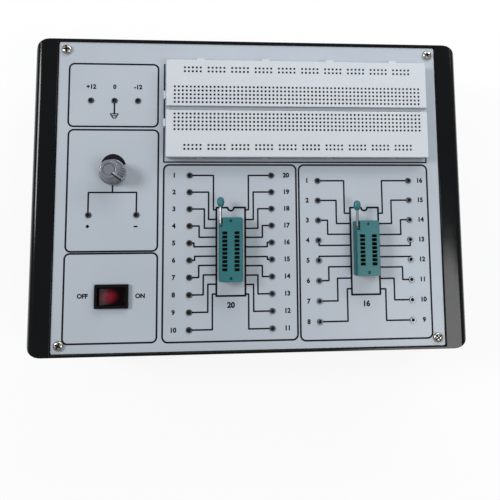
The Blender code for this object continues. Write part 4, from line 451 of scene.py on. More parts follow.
# %% Core sheets, winding tape and circuit boards
def core_sheets():
    finish = Finish("core_sheets", metallic=0.6)
    sheet = (finish.axis("Y") * (2 * pi / (0.5 * MM))).sine() * 0.5 + 0.5
    rust = finish.noise(5 * MM, 5.0, 0.65)
    base = finish.mix(linear("4A4B4F"), linear("6A6C70"), sheet)
    finish.feed("Base Color", finish.mix(base, linear("5A4636"), rust.band(0.55, 0.8) * 0.5))
    finish.feed("Roughness", 0.45 + 0.15 * rust)
    finish.bump(sheet, 0.05 * MM)
    return finish.material


def winding_tape():
    finish = Finish("winding_tape", coat_weight=0.2)
    turn = (finish.axis("Z") * (2 * pi / (6 * MM)) + finish.axis("X") * 60).sine() * 0.5 + 0.5
    cloud = finish.noise(5 * MM, 4.0)
    base = finish.mix(linear("C79B3B"), linear("D9B35A"), cloud)
    finish.feed("Base Color", finish.mix(base, linear("A87C24"), turn.band(0.9, 1.0) * 0.6))
    finish.feed("Roughness", 0.35 + 0.15 * cloud)
    finish.bump(turn + 0.3 * cloud, 0.06 * MM)
    return finish.material


def board_lacquer():
    finish = Finish("board_lacquer", coat_weight=0.3, coat_roughness=0.15)
    track = finish.wire.node(
        "ShaderNodeTexBrick",
        {"offset": 0.5, "squash": 1.0},
        {"Vector": finish.place, "Color1": (1, 1, 1, 1), "Color2": (1, 1, 1, 1), "Mortar": (0, 0, 0, 1),
         "Scale": 1.0, "Mortar Size": 0.4 * MM, "Brick Width": 9 * MM, "Row Height": 4 * MM},
        "Fac",
    )
    cloud = finish.noise(6 * MM, 4.0)
    base = finish.mix(linear("1E5A34"), linear("27693F"), cloud)
    finish.feed("Base Color", finish.mix(base, linear("3F8A55"), track * 0.7))
    finish.feed("Roughness", 0.32 + 0.12 * cloud)
    finish.bump(track, 0.035 * MM)
    return finish.material


finishes["core_steel"] = core_sheets()
finishes["tape"] = winding_tape()
finishes["circuit_board"] = board_lacquer()
print("finishes for all slots:", sorted(set(slot_of.values()) - set(finishes)) or "complete")

# %% [markdown]
# ## Giving the solids their finishes
#
# A solid's mesh is never changed, but its material slot can hold a better finish. Pieces
# that are made afresh below take the same finishes.

# %% Assign the finishes
for name, solid in solids.items():
    solid.data.materials.clear()
    solid.data.materials.append(finishes[slot_of[name]])
for zif in ZIF_PINS:
    solids[f"{zif}_lever"].data.materials[0] = lever_steel
print("finished solids:", len(solids))

# %% [markdown]
# ## Making pieces
#
# A few helpers make most pieces. One turns a bmesh into an object that rides on its
# body. One turns a profile round an axis. One takes a copy of a solid, welds its loose
# triangles, and rounds its sharp edges, because a real moulding has no knife edges and
# the small highlights along its edges are what makes it look solid. The large faces
# then set the shading, so that no streaks run over them from the small roundings.

# %% Helpers for pieces
def piece(name, mesh, body, replaces=(), smooth_angle=35):
    """An object at the origin that rides on a body and may stand for solids."""
    made = bpy.data.objects.new(name, mesh)
    bpy.context.scene.collection.objects.link(made)
    mesh.polygons.foreach_set("use_smooth", [True] * len(mesh.polygons))
    mesh.set_sharp_from_angle(angle=radians(smooth_angle))
    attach(made, body)
    if replaces:
        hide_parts(*replaces)
    return made


def mesh_from(bm, name, material):
    mesh = bpy.data.meshes.new(name)
    bm.to_mesh(mesh)
    bm.free()
    mesh.materials.append(material)
    return mesh
def box_at(bm, middle, size):
    """Adds a box to an open bmesh."""
    bmesh.ops.create_cube(bm, size=1, matrix=Matrix.Translation(middle) @ Matrix.Diagonal((*size, 1)))


def extruded(corners, offset):
    """A flat outline, given depth along an offset."""
    bm = bmesh.new()
    face = bm.faces.new([bm.verts.new(corner) for corner in corners])
    raised = bmesh.ops.extrude_face_region(bm, geom=[face])
    verts = [v for v in raised["geom"] if isinstance(v, bmesh.types.BMVert)]
    bmesh.ops.translate(bm, verts=verts, vec=offset)
    bmesh.ops.recalc_face_normals(bm, faces=bm.faces)
    return bm


def points_mesh(name, places):
    """A mesh of loose points, for a Geometry Nodes tree to put pieces on."""
    mesh = bpy.data.meshes.new(name)
    mesh.from_pydata(places, [], [])
    return mesh


def lathe(profile, steps, centre=(0, 0), radius_at=None):
    """A turned form: (radius, height) points in order, closed unless both ends are on the axis."""
    bm = bmesh.new()
    rings = []
    for r, z in profile:
        if r == 0:
            rings.append([bm.verts.new((*centre, z))])
            continue
        ring = []
        for n in range(steps):
            angle = 2 * pi * n / steps
            reach = radius_at(r, z, angle) if radius_at else r
            ring.append(bm.verts.new((centre[0] + reach * cos(angle), centre[1] + reach * sin(angle), z)))
        rings.append(ring)
    pairs = list(zip(rings, rings[1:]))
    if profile[0][0] > 0:
        pairs.append((rings[-1], rings[0]))
    for upper, lower in pairs:
        for n in range(steps):
            places = ((upper, n), (upper, n + 1), (lower, n + 1), (lower, n))
            bm.faces.new(list(dict.fromkeys(ring[step % len(ring)] for ring, step in places)))
    bmesh.ops.recalc_face_normals(bm, faces=bm.faces)
    return bm


WELD_DISTANCE = 1e-6
SHARP_ANGLE = radians(40)


def welded_copy(node):
    """A solid's mesh with its loose triangles joined and its flat faces made whole."""
    bm = bmesh.new()
    bm.from_mesh(solids[node].data)
    bmesh.ops.remove_doubles(bm, verts=bm.verts, dist=WELD_DISTANCE)
    bmesh.ops.dissolve_limit(bm, angle_limit=radians(1), verts=bm.verts, edges=bm.edges)
    return bm


def round_edges(bm, width, pick, segments):
    """Rounds the sharp edges, or those of them whose middle a function picks."""
    sharp = [
        e
        for e in bm.edges
        if len(e.link_faces) == 2
        and e.calc_face_angle(0) > SHARP_ANGLE
        and (pick is None or pick((e.verts[0].co + e.verts[1].co) / 2))
    ]
    bmesh.ops.bevel(
        bm, geom=sharp, offset=width, segments=segments, profile=0.5, affect="EDGES", clamp_overlap=True
    )


def refined(node, width, pick=None, segments=2):
    """A welded copy with its sharp edges rounded, which stands for the solid."""
    bm = welded_copy(node)
    round_edges(bm, width, pick, segments)
    slot = slot_of[node]
    made = piece(f"{node}_finished", mesh_from(bm, node, finishes[slot]), body_of[node], [node])
    return level_shading(made)


def level_shading(made):
    """Lets the large faces set the shading."""
    modifier = made.modifiers.new("level_shading", "WEIGHTED_NORMAL")
    modifier.keep_sharp = True
    modifier.weight = 100
    return made


print("helpers ready")

# %% [markdown]
# ## Case
#
# Both halves keep the frame's form. The long edges of the shoulders, the rim round the
# panel and the seam between the halves get a small rounding, so that the light draws a
# fine line along them.

# %% Round the case's outer edges
upper_low, upper_high, _ = span("upper_case")
lower_low, lower_high, _ = span("lower_case")
EDGE_REACH = 0.3 * MM
SEAM_REACH = 0.2 * MM


def on_outside(point, low, high):
    """Whether a point lies on one of a box's four upright sides."""
    return min(point.x - low.x, high.x - point.x, point.y - low.y, high.y - point.y) < EDGE_REACH


def upper_edges(point):
    at_seam = on_outside(point, upper_low, upper_high) and point.z < upper_low.z + SEAM_REACH
    return at_seam or point.z > upper_high.z - EDGE_REACH


def lower_edges(point):
    at_end = point.z < lower_low.z + SEAM_REACH or point.z > lower_high.z - SEAM_REACH
    return at_end and on_outside(point, lower_low, lower_high)


upper = refined("upper_case", 0.45 * MM, upper_edges, 3)
lower = refined("lower_case", 0.45 * MM, lower_edges, 3)
print("case faces:", len(upper.data.polygons), len(lower.data.polygons))

# %% Soften the panel's outer edges
def panel_edges(point):
    return point.z > PANEL_TOP - 0.1 * MM and on_outside(point, panel_low, panel_high)


panel = refined("control_panel", 0.3 * MM, panel_edges, 2)
print("panel faces:", len(panel.data.polygons))

# %% [markdown]
# ## Printed lines
#
# The panel carries frames round its groups, leads from each patch socket to the outline
# of an integrated circuit, and a few symbols. Real ink lies a few hundredths of a
# millimetre proud. A Geometry Nodes tree lays a thin flat ribbon along any line: it
# turns edges into curves, rounds their corners and sweeps a flat profile along them.

# %% The ink, and a tree that lays a ribbon along lines
def printing_ink():
    finish = Finish("printing_ink", ior=1.45, specular_ior_level=0.15)
    cloud = finish.noise(3 * MM, 4.0)
    finish.feed("Base Color", finish.mix(linear("06070D"), linear("12141E"), cloud))
    finish.feed("Roughness", 0.42 + 0.15 * cloud)
    finish.bump(finish.noise(0.2 * MM, 2.0), 0.004 * MM)
    return finish.material


ink = printing_ink()
INK_THICKNESS = 0.03 * MM


def new_tree(name, inputs):
    """A Geometry Nodes tree with named inputs: gives it, its input wires and a function that ends it."""
    tree = bpy.data.node_groups.new(name, "GeometryNodeTree")
    tree.interface.new_socket("Geometry", in_out="INPUT", socket_type="NodeSocketGeometry")
    for label, (kind, value) in inputs.items():
        item = tree.interface.new_socket(label, in_out="INPUT", socket_type=f"NodeSocket{kind}")
        if value is not None:
            item.default_value = value
    tree.interface.new_socket("Geometry", in_out="OUTPUT", socket_type="NodeSocketGeometry")
    start = tree.nodes.new("NodeGroupInput")
    wires = {socket.name: Wire(tree, socket) for socket in start.outputs if socket.name}

    def end(geometry):
        """Makes instances real, sets the material and closes the tree."""
        real = geometry.node("GeometryNodeRealizeInstances", None, {"Geometry": geometry})
        painted = real.node("GeometryNodeSetMaterial", None, {"Geometry": real, "Material": wires["Material"]})
        close = tree.nodes.new("NodeGroupOutput")
        tree.links.new(painted.socket, close.inputs[0])

    return tree, wires, end


def run_tree(tree, name, mesh, **values):
    """Runs a tree on a mesh and gives the plain mesh that comes out of it."""
    holder = bpy.data.objects.new(name, mesh)
    bpy.context.scene.collection.objects.link(holder)
    modifier = holder.modifiers.new(name, "NODES")
    modifier.node_group = tree
    for item in tree.interface.items_tree:
        key = item.name.replace(" ", "_").lower()
        if item.in_out == "INPUT" and key in values:
            modifier[item.identifier] = values[key]
    graph = bpy.context.evaluated_depsgraph_get()
    made = bpy.data.meshes.new_from_object(holder.evaluated_get(graph))
    made.name = name
    bpy.data.objects.remove(holder)
    return made


def ribbon_tree():
    tree, wires, end = new_tree("printed_ribbon", {
        "Width": ("Float", 0.5 * MM), "Thickness": ("Float", INK_THICKNESS),
        "Corner Radius": ("Float", 0.3 * MM), "Material": ("Material", None),
    })
    lines = wires["Geometry"].node("GeometryNodeMeshToCurve", None, {"Mesh": wires["Geometry"]})
    rounded = lines.node(
        "GeometryNodeFilletCurve", {"mode": "POLY"},
        {"Curve": lines, "Radius": wires["Corner Radius"], "Count": 6, "Limit Radius": True},
    )
    level = rounded.node("GeometryNodeSetCurveNormal", {"mode": "Z_UP"}, {"Curve": rounded})
    size = {"Width": wires["Width"], "Height": wires["Thickness"]}
    flat = level.node("GeometryNodeCurvePrimitiveQuadrilateral", None, size)
    sweep = {"Curve": level, "Profile Curve": flat, "Fill Caps": True}
    end(level.node("GeometryNodeCurveToMesh", None, sweep))
    return tree


RIBBON = ribbon_tree()


def line_mesh(name, lines):
    """Edges along lines of (x, y) points in millimetres. A line that ends at its start is closed."""
    mesh = bpy.data.meshes.new(name)
    verts, edges = [], []
    for points in lines:
        closed = points[0] == points[-1]
        kept = points[:-1] if closed else points
        first = len(verts)
        verts += [(x * MM, y * MM, PANEL_TOP + INK_THICKNESS / 2) for x, y in kept]
        edges += [(first + n, first + n + 1) for n in range(len(kept) - 1)]
        if closed:
            edges.append((first + len(kept) - 1, first))
    mesh.from_pydata(verts, edges, [])
    return mesh


def printed_lines(name, lines, width, corner):
    """Ribbons of ink along lines of (x, y) points, with widths and corners in millimetres."""
    sizes = {"width": width * MM, "corner_radius": corner * MM}
    mesh = run_tree(RIBBON, name, line_mesh(name, lines), **sizes, material=ink)
    piece(name, mesh, "case")
    rise = max(v.co.z for v in mesh.vertices) - PANEL_TOP
    print(name, "lines:", len(lines), "faces:", len(mesh.polygons), "rise:", round(rise / MM, 3), "mm")


# %% [markdown]
# ### Frames, outlines and leads
#
# Places are in millimetres from the middle of the case. Each lead starts at its patch
# socket, runs level to its bend, and then to its row beside the printed outline.

# %% Print the frames
def frame_line(left, right, front, rear):
    return [(left, front), (right, front), (right, rear), (left, rear), (left, front)]


printed_lines("supply_frames", [
    frame_line(-118.0, -61.0, 43.5, 85.0),
    frame_line(-117.6, -60.5, -36.7, 41.3),
    frame_line(-118.0, -60.4, -93.5, -38.0),
], 1.15, 3.2)
printed_lines("socket_frames", [
    frame_line(-56.9, 28.8, -93.8, 18.5),
    frame_line(30.6, 116.8, -94.6, 18.5),
], 1.15, 3.4)
BREADBOARD_FRAME = [(-57.0, 85.6), (-57.0, 20.35), (116.7, 20.35), (116.7, 24.0)]
printed_lines("breadboard_frame", [BREADBOARD_FRAME], 0.95, 0.05)

# %% Print the outlines of the integrated circuits and their leads
LEFT_BENDS_20 = [
    (-25.0, -10.7), (-28.1, -16.9), (-30.8, -22.5), (-34.1, -28.3), (-37.4, -34.3),
    (-36.9, -40.4), (-34.3, -46.2), (-31.4, -52.2), (-28.5, -58.1), (-25.6, -64.3),
]
RIGHT_BENDS_20 = [
    (-2.4, -10.8), (0.7, -17.1), (3.6, -22.8), (6.5, -28.6), (9.6, -34.7),
    (9.6, -41.0), (6.3, -46.7), (3.4, -52.7), (0.6, -58.6), (-2.6, -64.6),
]
LEFT_BENDS_16 = [
    (60.5, -13.4), (55.1, -20.1), (49.2, -27.1), (43.4, -34.3),
    (43.2, -41.3), (49.4, -48.1), (55.0, -55.5), (61.3, -62.3),
]
RIGHT_BENDS_16 = [
    (85.9, -13.5), (91.9, -20.3), (97.9, -27.5), (104.0, -34.9),
    (104.3, -42.0), (98.2, -48.7), (92.4, -56.0), (86.6, -62.7),
]
CHIP_OUTLINES = {"zif20": (-23.1, -4.6, -65.6, -9.3), "zif16": (64.3, 83.0, -66.1, -9.7)}
SOCKET_CLEAR = 1.7


def lead(socket, bend, edge):
    """From a socket's rim to its bend, and then along its own row to the outline's edge."""
    x, y = socket[0] / MM, socket[1] / MM
    start = x + SOCKET_CLEAR * (1 if bend[0] > x else -1)
    return [(start, y), (bend[0], y), bend, (edge, bend[1])]


leads = []
for zif, bends in (("zif20", (LEFT_BENDS_20, RIGHT_BENDS_20)), ("zif16", (LEFT_BENDS_16, RIGHT_BENDS_16))):
    for side, edge in enumerate(CHIP_OUTLINES[zif][:2]):
        leads += [lead(socket, bend, edge) for socket, bend in zip(zif_columns[zif][side], bends[side])]
printed_lines("socket_leads", leads, 1.05, 0.15)


def chip_outline(left, right, front, rear, notch=2.0):
    """An outline with the half-round notch that marks pin 1's end."""
    middle = (left + right) / 2
    arc = [(middle - notch * cos(pi * n / 10), rear - notch * sin(pi * n / 10)) for n in range(11)]
    return [(left, rear), (left, front), (right, front), (right, rear), *reversed(arc), (left, rear)]


printed_lines("chip_outlines", [chip_outline(*box) for box in CHIP_OUTLINES.values()], 1.25, 0.1)

# %% Print the supply symbols
ground_x, ground_y = fixed_middle.x / MM, fixed_middle.y / MM
STEM_X = -89.2
BRACKET_LEFT, BRACKET_RIGHT, BRACKET_REAR = -104.2, -74.0, 0.7
bracket_foot = variable_middle.y / MM + SOCKET_CLEAR
printed_lines("supply_symbols", [
    [(ground_x, ground_y - SOCKET_CLEAR), (ground_x, 51.9)],
    [(STEM_X, 6.0), (STEM_X, BRACKET_REAR)],
    [
        (BRACKET_LEFT, bracket_foot), (BRACKET_LEFT, BRACKET_REAR),
        (BRACKET_RIGHT, BRACKET_REAR), (BRACKET_RIGHT, bracket_foot),
    ],
    [(-105.4, -20.9), (-103.2, -20.9)],
    [(-104.3, -22.0), (-104.3, -19.8)],
    [(-75.5, -21.1), (-73.1, -21.1)],
], 1.05, 0.1)


def filled_shape(name, outline):
    """A flat printed shape with an outline of (x, y) points in millimetres."""
    bm = extruded([(x * MM, y * MM, PANEL_TOP) for x, y in outline], (0, 0, INK_THICKNESS))
    piece(name, mesh_from(bm, name, ink), "case")


printed_lines("ground_symbol", [
    [(ground_x + x, y) for x, y in ((-2.5, 51.9), (2.5, 51.9), (0.8, 49.1), (-0.8, 49.1), (-2.5, 51.9))],
    [(ground_x - 1.7, 50.6), (ground_x + 1.7, 50.6)],
], 0.7, 0.05)


def crescent(start, top, end, thin, thick, steps=28):
    """The knob's scale: an arc through three points that grows from thin to thick."""
    (ax, ay), (bx, by), (cx, cy) = start, top, end
    d = 2 * (ax * (by - cy) + bx * (cy - ay) + cx * (ay - by))
    ux = ((ax**2 + ay**2) * (by - cy) + (bx**2 + by**2) * (cy - ay) + (cx**2 + cy**2) * (ay - by)) / d
    uy = ((ax**2 + ay**2) * (cx - bx) + (bx**2 + by**2) * (ax - cx) + (cx**2 + cy**2) * (bx - ax)) / d
    radius = hypot(ax - ux, ay - uy)
    first, last = atan2(ay - uy, ax - ux), atan2(cy - uy, cx - ux)
    outer, inner = [], []
    for n in range(steps + 1):
        share = n / steps
        angle = first + (last - first) * share
        half = (thin + (thick - thin) * min(1, share * 2.0) ** 0.75) / 2
        outer.append((ux + (radius + half) * cos(angle), uy + (radius + half) * sin(angle)))
        inner.append((ux + (radius - half) * cos(angle), uy + (radius - half) * sin(angle)))
    return outer + inner[::-1]


filled_shape("knob_scale", crescent((-96.2, 19.0), (-88.9, 23.7), (-83.0, 18.4), 0.7, 3.8))

# %% [markdown]
# ### Numbers and plain words
#
# Pins are numbered, the switch says OFF and ON, and the supplies carry plain numbers.
# Text is made with Blender's own font, turned into a mesh and moved into place there.

# %% Print the lettering
def lettering(name, rows, height):
    """Thin raised text for (words, x, y) rows in millimetres, all in one mesh."""
    bm = bmesh.new()
    for words, x, y in rows:
        text = bpy.data.curves.new(name, "FONT")
        text.body = words
        text.size = height * MM * 1.4
        text.align_x, text.align_y = "CENTER", "CENTER"
        text.extrude = INK_THICKNESS / 2
        text.bevel_depth = 0.075 * height * MM
        text.bevel_resolution = 1
        holder = bpy.data.objects.new(name, text)
        flat = bpy.data.meshes.new_from_object(holder)
        thinner = INK_THICKNESS / (INK_THICKNESS + 2 * text.bevel_depth)
        place = Matrix.Translation((x * MM, y * MM, PANEL_TOP + INK_THICKNESS / 2))
        flat.transform(place @ Matrix.Diagonal((1, 1, thinner, 1)))
        bm.from_mesh(flat)
        bpy.data.objects.remove(holder)
        bpy.data.meshes.remove(flat)
    bmesh.ops.remove_doubles(bm, verts=bm.verts, dist=1e-7)
    bm.normal_update()
    piece(name, mesh_from(bm, name, ink), "case")


numbers = []
for zif, (left, right) in {"zif20": (-50.2, 22.2), "zif16": (36.0, 111.6)}.items():
    count = ZIF_PINS[zif] // 2
    for n in range(count):
        y = zif_columns[zif][0][n][1] / MM
        numbers += [(str(n + 1), left, y), (str(2 * count - n), right, y)]
lettering("pin_numbers", numbers, 2.9)
lettering("switch_words", [("OFF", -106.4, -64.5), ("ON", -70.8, -64.8)], 2.7)
lettering("supply_numbers", [("+12", -104.0, 69.7), ("0", -89.0, 69.7), ("-12", -74.0, 69.7)], 2.8)
lettering("chip_numbers", [("20", -13.8, -71.5), ("16", 73.6, -72.0)], 3.4)
print("printed numbers:", len(numbers))

# %% [markdown]
# ## Patch sockets
#
# Each patch socket is a plated metal tube, soldered into the board below the panel. Its
# rim slopes down to the outside, and a near-black disc of painted shade sits down in the
# bore. A Geometry Nodes tree sweeps the wall's section round a circle and puts one at
# every place. The boards below are plain plates, seen only from inside.

# %% Tubes for the patch sockets
SOCKET_RADIUS = 1.75 * MM
SOCKET_BORE = 1.15 * MM
RIM_SLOPE = 0.22 * MM
BORE_SHADE_DEPTH = 1.2 * MM
SOCKET_BOARDS = (
    "fixed_supply_sockets", "variable_supply_sockets", "zif20_terminal_board", "zif16_terminal_board",
)
SOCKET_TOP = fixed_high.z
BOARD_TOP = panel_low.z - 0.3 * MM


def socket_tree():
    tree, wires, end = new_tree("patch_socket_rings", {
        "Mean Radius": ("Float", 1.4 * MM), "Wall": ("Float", 0.7 * MM),
        "Rim Slope": ("Float", 0.2 * MM), "Height": ("Float", 3 * MM), "Material": ("Material", None),
    })
    start = wires["Geometry"]
    circle = {"Resolution": 24, "Radius": wires["Mean Radius"]}
    path = start.node("GeometryNodeCurvePrimitiveCircle", None, circle)
    level = path.node("GeometryNodeSetCurveNormal", {"mode": "Z_UP"}, {"Curve": path})
    outer, top = wires["Wall"] * 0.5, wires["Height"] * 0.5
    inner, bottom = outer * -1, top * -1
    corners = [(outer, bottom), (outer, top - wires["Rim Slope"]), (inner, top), (inner, bottom)]
    section = {f"Point {n + 1}": path.vector(across, up) for n, (across, up) in enumerate(corners)}
    wall = path.node("GeometryNodeCurvePrimitiveQuadrilateral", {"mode": "POINTS"}, section)
    ring = path.node("GeometryNodeCurveToMesh", None, {"Curve": level, "Profile Curve": wall})
    placed = start.node("GeometryNodeInstanceOnPoints", None, {"Points": start, "Instance": ring})
    end(placed)
    return tree


column_places = [place for columns in zif_columns.values() for column in columns for place in column]
every_place = [*fixed_places, *variable_places, *column_places]
ring_height = SOCKET_TOP - BOARD_TOP
ring_points = points_mesh("socket_places", [(x, y, SOCKET_TOP - ring_height / 2) for x, y in every_place])
rings = run_tree(
    socket_tree(), "patch_sockets", ring_points,
    mean_radius=(SOCKET_RADIUS + SOCKET_BORE) / 2, wall=SOCKET_RADIUS - SOCKET_BORE,
    rim_slope=RIM_SLOPE, height=ring_height, material=nickel,
)
piece("patch_sockets", rings, "case", SOCKET_BOARDS)
first_x, first_y = every_place[0]
crest = [hypot(v.co.x - first_x, v.co.y - first_y) for v in rings.vertices if v.co.z > SOCKET_TOP - 0.05 * MM]
print("patch sockets:", len(every_place), "faces:", len(rings.polygons))
print("the rim's crest is", round(min(crest) / MM, 2), "mm from its middle")


# %% Painted shade in the bores
def bore_shade_tree():
    tree, wires, end = new_tree("socket_seats", {
        "Radius": ("Float", 1.1 * MM), "Height": ("Float", 0.5 * MM), "Material": ("Material", None),
    })
    start = wires["Geometry"]
    cylinder = {"Vertices": 12, "Radius": wires["Radius"], "Depth": wires["Height"]}
    disc = start.node("GeometryNodeMeshCylinder", None, cylinder, "Mesh")
    end(start.node("GeometryNodeInstanceOnPoints", None, {"Points": start, "Instance": disc}))
    return tree


# Each disc is painted shade: a near-black plate down in a bore that lies in shade.
BORE_SHADE_THICKNESS = 0.5 * MM
bore_shade_points = points_mesh("seat_places", [(x, y, SOCKET_TOP - BORE_SHADE_DEPTH) for x, y in every_place])
bore_shade_discs = run_tree(
    bore_shade_tree(), "socket_seats", bore_shade_points,
    radius=SOCKET_BORE + 0.15 * MM, height=BORE_SHADE_THICKNESS, material=recess_black,
)
piece("socket_seats", bore_shade_discs, "case")
print("seats:", len(every_place))


# %% Boards below the panel
def terminal_board(node):
    """A plain plate in the place of a board whose sockets are made afresh."""
    low, high, _ = span(node)
    high.z = BOARD_TOP
    bm = bmesh.new()
    box_at(bm, (low + high) / 2, high - low)
    bmesh.ops.bevel(bm, geom=list(bm.edges), offset=0.15 * MM, segments=1, affect="EDGES")
    material = finishes["circuit_board"]
    piece(f"{node}_plate", mesh_from(bm, node, material), "case", [node])


for node in SOCKET_BOARDS:
    terminal_board(node)
print("boards: 4")

# %% [markdown]
# ## Breadboard
#
# The body is one moulding with a groove down its middle and 840 square contact holes:
# 64 columns of five on each side of the groove, and two bus rows along each long edge.
# A Geometry Nodes tree puts a square punch on every place and takes the punches out of a
# copy of the body, so the holes are real and cast real shade.

# %% Places of the contact holes
board_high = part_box("breadboard_body")[1]
HOLE_PITCH = 2.54 * MM
BOARD_CENTRE = Vector((30.4 * MM, 54.3 * MM))
COLUMNS = 64


def hole_places():
    places = []
    for row in (*range(5, 10), *range(12, 17)):
        places += [(column - 31.5, 10.5 - row) for column in range(COLUMNS)]
    for row in (0, 1, 20, 21):
        places += [(2.5 + 6 * group + n - 31.5, 10.5 - row) for group in range(10) for n in range(5)]
    return [(BOARD_CENTRE.x + x * HOLE_PITCH, BOARD_CENTRE.y + y * HOLE_PITCH) for x, y in places]


holes = hole_places()
print("contact holes:", len(holes))

# %% Punch the holes
EXACT_CUT = {"operation": "DIFFERENCE", "solver": "EXACT"}
def punched_tree():
    tree, wires, end = new_tree("punched_board", {
        "Punches": ("Object", None), "Hole Size": ("Float", 1.2 * MM), "Hole Depth": ("Float", 5 * MM),
        "Material": ("Material", None),
    })
    start = wires["Geometry"]
    size = start.vector(wires["Hole Size"], wires["Hole Size"], wires["Hole Depth"])
    punch = start.node("GeometryNodeMeshCube", None, {"Size": size})
    places = start.node("GeometryNodeObjectInfo", None, {"Object": wires["Punches"]}, "Geometry")
    placed = start.node("GeometryNodeInstanceOnPoints", None, {"Points": places, "Instance": punch})
    real = start.node("GeometryNodeRealizeInstances", None, {"Geometry": placed})
    end(start.node("GeometryNodeMeshBoolean", EXACT_CUT, {"Mesh 1": start, "Mesh 2": real}, "Mesh"))
    return tree


HOLE_SIZE = 1.3 * MM
HOLE_DEPTH = 4.6 * MM
RIM_ROUNDING = 0.45 * MM
punch_points = points_mesh("punch_places", [(x, y, board_high.z) for x, y in holes])
punch_holder = bpy.data.objects.new("punch_places", punch_points)
bm = welded_copy("breadboard_body")
round_edges(bm, RIM_ROUNDING, lambda point: point.z > board_high.z - 0.1 * MM, 3)
blank = mesh_from(bm, "breadboard_blank", finishes["white_plastic"])
holed_mesh = run_tree(
    punched_tree(), "breadboard", blank,
    punches=punch_holder, hole_size=HOLE_SIZE, hole_depth=2 * HOLE_DEPTH, material=finishes["white_plastic"],
)
bpy.data.objects.remove(punch_holder)
level_shading(piece("breadboard", holed_mesh, "case", ["breadboard_body"]))
print("breadboard faces:", len(holed_mesh.polygons))

# %% [markdown]
# Below each hole two leaves of a spring contact wait for a wire. They are small thin
# plates, so a cube stretched by named sizes and put on every place is enough.

# %% Spring contacts in the holes
def leaf_tree():
    tree, wires, end = new_tree("contact_leaves", {
        "Thickness": ("Float", 0.15 * MM), "Width": ("Float", 1.1 * MM), "Height": ("Float", 3 * MM),
        "Gap": ("Float", 0.5 * MM), "Material": ("Material", None),
    })
    start = wires["Geometry"]
    size = start.vector(wires["Thickness"], wires["Width"], wires["Height"])
    leaf = start.node("GeometryNodeMeshCube", None, {"Size": size})
    shift = (wires["Gap"] + wires["Thickness"]) * 0.5
    pair = tree.nodes.new("GeometryNodeJoinGeometry")
    for sign in (-1, 1):
        moved = {"Geometry": leaf, "Translation": start.vector(shift * sign)}
        side = start.node("GeometryNodeTransform", None, moved)
        tree.links.new(side.socket, pair.inputs[0])
    both = Wire(tree, pair.outputs[0])
    end(start.node("GeometryNodeInstanceOnPoints", None, {"Points": start, "Instance": both}))
    return tree


LEAF_TREE = leaf_tree()
def contact_leaves(name, places, level, **sizes):
    """Pairs of leaves on (x, y) places, with their middles at one level and sizes in millimetres."""
    points = points_mesh(f"{name}_places", [(x, y, level) for x, y in places])
    in_metres = {key: value * MM for key, value in sizes.items()}
    return piece(name, run_tree(LEAF_TREE, name, points, **in_metres, material=bronze_painted_dark), "case")


LEAF_HEIGHT = 2.6
LEAF_DROP = 1.7 * MM
leaves = contact_leaves(
    "breadboard_contacts", holes, board_high.z - LEAF_DROP - LEAF_HEIGHT * MM / 2,
    thickness=0.16, width=1.1, height=LEAF_HEIGHT, gap=0.45,
)
print("contact faces:", len(leaves.data.polygons))

# %% [markdown]
# ## Zero-insertion-force sockets
#
# Each socket is a base, a sliding plate and a slotted cover, with a bent rod as its
# lever. The covers and bases get small roundings. Springy metal contacts stand in the
# slots.

# %% Covers, bases and contacts
ROUNDINGS = {"base": 0.25 * MM, "cover": 0.2 * MM}
CONTACT_DROP = 2.6 * MM

zif_pieces = []
for zif, pins in ZIF_PINS.items():
    zif_pieces += [refined(f"{zif}_{part}", width) for part, width in ROUNDINGS.items()]
    cover_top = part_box(f"{zif}_cover")[1].z
    x0, y0 = zif_centres[zif]
    rows = pins // 2
    slots = [
        (x0 + side * PIN_ROW_SPACING / 2, y0 + (row - (rows - 1) / 2) * PIN_PITCH)
        for side in (-1, 1)
        for row in range(rows)
    ]
    blades = {"thickness": 0.2, "width": 0.9, "height": 2.4, "gap": 1.5}
    zif_pieces.append(contact_leaves(f"{zif}_contacts", slots, cover_top - CONTACT_DROP, **blades))
print("socket pieces:", [p.name for p in zif_pieces])

# %% [markdown]
# ## Supply knob
#
# The knob is a turned moulding: a plain skirt, a cone with fine flutes for the fingers,
# and a raised rim round a sunken cap. Its pointer is a pale fin beside a thin near-black
# strip of painted shade for a slot, and both run over the rim and down the cone. The
# flutes follow a rule, so the knob's radius is a function of the angle.

# %% Turn the knob
knob_low, knob_high, _ = span("voltage_knob")
shaft_low, shaft_high, _ = span("pot_shaft")
KNOB_CENTRE = (fixed_middle.x, shaft_low.y / 2 + shaft_high.y / 2)
KNOB_BASE = 8.3 * MM
KNOB_TOP_RADIUS = 6.1 * MM
KNOB_CAP_RADIUS = 3.7 * MM
KNOB_ROUNDING = 1.2 * MM
KNOB_FLUTES = 27
KNOB_TOP = knob_high.z - 0.8 * MM
POINTER_ANGLE = radians(-37)


def fluted(radius, height, angle):
    """Outer points of the cone pull in between the ribs; the rim and skirt stay round."""
    on_cone = knob_low.z + 2.3 * MM < height < KNOB_TOP - 2.0 * MM and radius > 6.2 * MM
    if not on_cone:
        return radius
    wave = 0.5 + 0.5 * cos(angle * KNOB_FLUTES)
    return radius - 0.6 * MM * wave**3


def cone_radius(height):
    share = (height - knob_low.z - 2.0 * MM) / (KNOB_TOP - knob_low.z - 2.0 * MM)
    return (KNOB_BASE - 0.6 * MM) + (KNOB_TOP_RADIUS - KNOB_BASE + 0.6 * MM) * share


